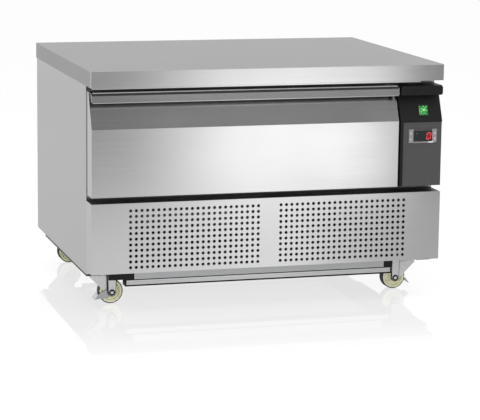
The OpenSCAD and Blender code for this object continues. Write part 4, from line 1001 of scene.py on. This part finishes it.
# How far a segment ends short of its corners, and the 0's segments in parts of its width and height
SEGMENT_GAP = 0.3 * MM
ZERO_SEGMENTS = [((0, 1), (1, 1)), ((1, 1), (1, 0.5)), ((1, 0.5), (1, 0)), ((1, 0), (0, 0)),
                 ((0, 0), (0, 0.5)), ((0, 0.5), (0, 1))]
# Outlines in millimetres from the key's middle
KEY_MARKS = {
    "key_up": [[(-1.8, -1.2), (1.8, -1.2), (0, 1.6)]],
    "key_down": [[(-1.8, 1.2), (0, -1.6), (1.8, 1.2)]],
    "key_set": [[(-1.8, 0.5), (1.8, 0.5), (1.8, 1.3), (-1.8, 1.3)],
                [(-1.8, -1.3), (1.8, -1.3), (1.8, -0.5), (-1.8, -0.5)]],
    "key_light": [circle_points(1.4, 14)],
}


def front_mark(bm, outline, corner, height):
    """A thin mark on a face that looks to the front, with its outline's origin at the corner."""
    x, y, z = corner
    prism(bm, outline, Vector((x, y + PRINT_SUNK, z)), Vector((0, -1, 0)), height, Vector((1, 0, 0)))


class UNIT_OT_controls(bpy.types.Operator):
    """Rounds the control housing's edges and adds the marks of the thermostat"""

    bl_idname = "unit.controls"
    bl_label = "Controls"

    def execute(self, context):
        eased_node("control_housing", "Control_housing", 0.8 * MM, 3)
        sizes = context.scene.unit_display
        low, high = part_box("display_window")
        self.digit(low, high, sizes)
        lamp = bmesh.new()
        middle = (low.x + 9 * MM, low.y, high.z - 7 * MM)
        front_mark(lamp, circle_points(0.9 * MM, 16), middle, DIGIT_HEIGHT)
        built_piece("Display_lamp", lamp, "display_window", "Lamp green")
        for node, outlines in KEY_MARKS.items():
            low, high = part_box(node)
            middle = ((low.x + high.x) / 2, low.y, (low.z + high.z) / 2)
            mark = bmesh.new()
            for outline in outlines:
                front_mark(mark, [(u * MM, v * MM) for u, v in outline], middle, PRINT_HEIGHT)
            built_piece("Mark_" + node, mark, node, "Mark print")
        return {"FINISHED"}

    def digit(self, low, high, sizes):
        """A leaning 0 of six segments at the window's right end, over a faint painted glow round it."""
        height = sizes.digit_height
        width = height * 0.66
        lean = math.tan(sizes.slant)
        corner = (high.x - width - 5 * MM, low.y, (low.z + high.z) / 2 - height / 2)
        bm = bmesh.new()
        for (u0, v0), (u1, v1) in ZERO_SEGMENTS:
            start, end = Vector((u0 * width, v0 * height)), Vector((u1 * width, v1 * height))
            along = (end - start).normalized()
            side = Vector((-along.y, along.x)) * sizes.segment_width / 2
            tip = along * sizes.segment_width / 2
            start, end = start + along * SEGMENT_GAP, end - along * SEGMENT_GAP
            outline = [start, start + tip + side, end - tip + side,
                       end, end - tip - side, start + tip - side]
            front_mark(bm, [(p.x + p.y * lean, p.y) for p in outline], corner, DIGIT_HEIGHT)
        built_piece("Display_digits", bm, "display_window", "Digit red")
        glow = bmesh.new()
        rim = 0.6 * MM
        corners = ((-rim, -rim), (width + rim, -rim), (width + rim, height + rim), (-rim, height + rim))
        front_mark(glow, [(u + v * lean, v) for u, v in corners], corner, PRINT_HEIGHT)
        built_piece("Display_glow", glow, "display_window", "Digit glow")


# Where the weld marks stand along the worktop's ends, from back to front
WELD_PLACES = (0.220, 0.190, -0.182, -0.214)


class UNIT_OT_fasteners(bpy.types.Operator):
    """Adds the screws of the back and the spot weld marks of the worktop"""

    bl_idname = "unit.fasteners"
    bl_label = "Fasteners"

    def execute(self, context):
        sizes = context.scene.unit_fasteners
        tree = studs_tree()
        low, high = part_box("back_panel")
        inset = 12 * MM
        rows = [high.z - inset, low.z + inset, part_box("rear_grille")[0].z + inset]
        span = high.x - low.x - 2 * inset
        points = [(low.x + inset + span * i / (sizes.screw_count - 1), high.y, z)
                  for z in rows for i in range(sizes.screw_count)]
        mesh = run_tree("Back_screws", tree, points, {
            "Radius": sizes.screw_radius, "Height": 1.4 * MM, "Turn": (math.pi / 2, 0.0, 0.0),
            "Finish": MATERIALS["Zinc plate"]})
        new_piece("Back_screws", mesh, "cabinet", "zinc", MATERIALS["Zinc plate"])
        low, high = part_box("worktop")
        weld_z = (low.z + high.z) / 2 - 2 * MM
        welds = [(x, y, weld_z) for x in (low.x, high.x) for y in WELD_PLACES]
        mesh = run_tree("Weld_marks", tree, welds, {
            "Radius": sizes.weld_radius, "Height": 0.12 * MM, "Turn": (0.0, math.pi / 2, 0.0),
            "Finish": MATERIALS["Worktop steel"]})
        new_piece("Weld_marks", mesh, "cabinet", "stainless", MATERIALS["Worktop steel"])
        return {"FINISHED"}


class UNIT_PT_panel(bpy.types.Panel):
    """Lists the unit's pieces and their settings"""

    bl_label = "Drawer unit"
    bl_idname = "UNIT_PT_panel"
    bl_space_type = "VIEW_3D"
    bl_region_type = "UI"
    bl_category = "Drawer unit"

    def draw(self, context):
        for operator in OPERATORS:
            self.layout.operator(operator.bl_idname)
        for name in SETTINGS:
            group = getattr(context.scene, name)
            box = self.layout.box()
            for key in group.__annotations__:
                box.prop(group, key)


SETTINGS = {
    "unit_steel": SteelFinish, "unit_plastic": PlasticFinish, "unit_display": DisplaySizes,
    "unit_fasteners": FastenerSizes, "unit_stage": StageSettings,
}
OPERATORS = [UNIT_OT_stage, UNIT_OT_finishes, UNIT_OT_sheet_metal, UNIT_OT_casters, UNIT_OT_controls,
             UNIT_OT_fasteners]


def register():
    for cls in (*SETTINGS.values(), *OPERATORS, UNIT_PT_panel):
        bpy.utils.register_class(cls)
    for name, cls in SETTINGS.items():
        setattr(bpy.types.Scene, name, PointerProperty(type=cls))


def unregister():
    for name in SETTINGS:
        delattr(bpy.types.Scene, name)
    for cls in (UNIT_PT_panel, *reversed(OPERATORS), *reversed(list(SETTINGS.values()))):
        bpy.utils.unregister_class(cls)


def main():
    register()
    bpy.ops.unit.stage()
    bpy.ops.unit.finishes()
    bpy.ops.unit.sheet_metal()
    bpy.ops.unit.casters()
    bpy.ops.unit.controls()
    bpy.ops.unit.fasteners()


if __name__ == "__main__":
    main()
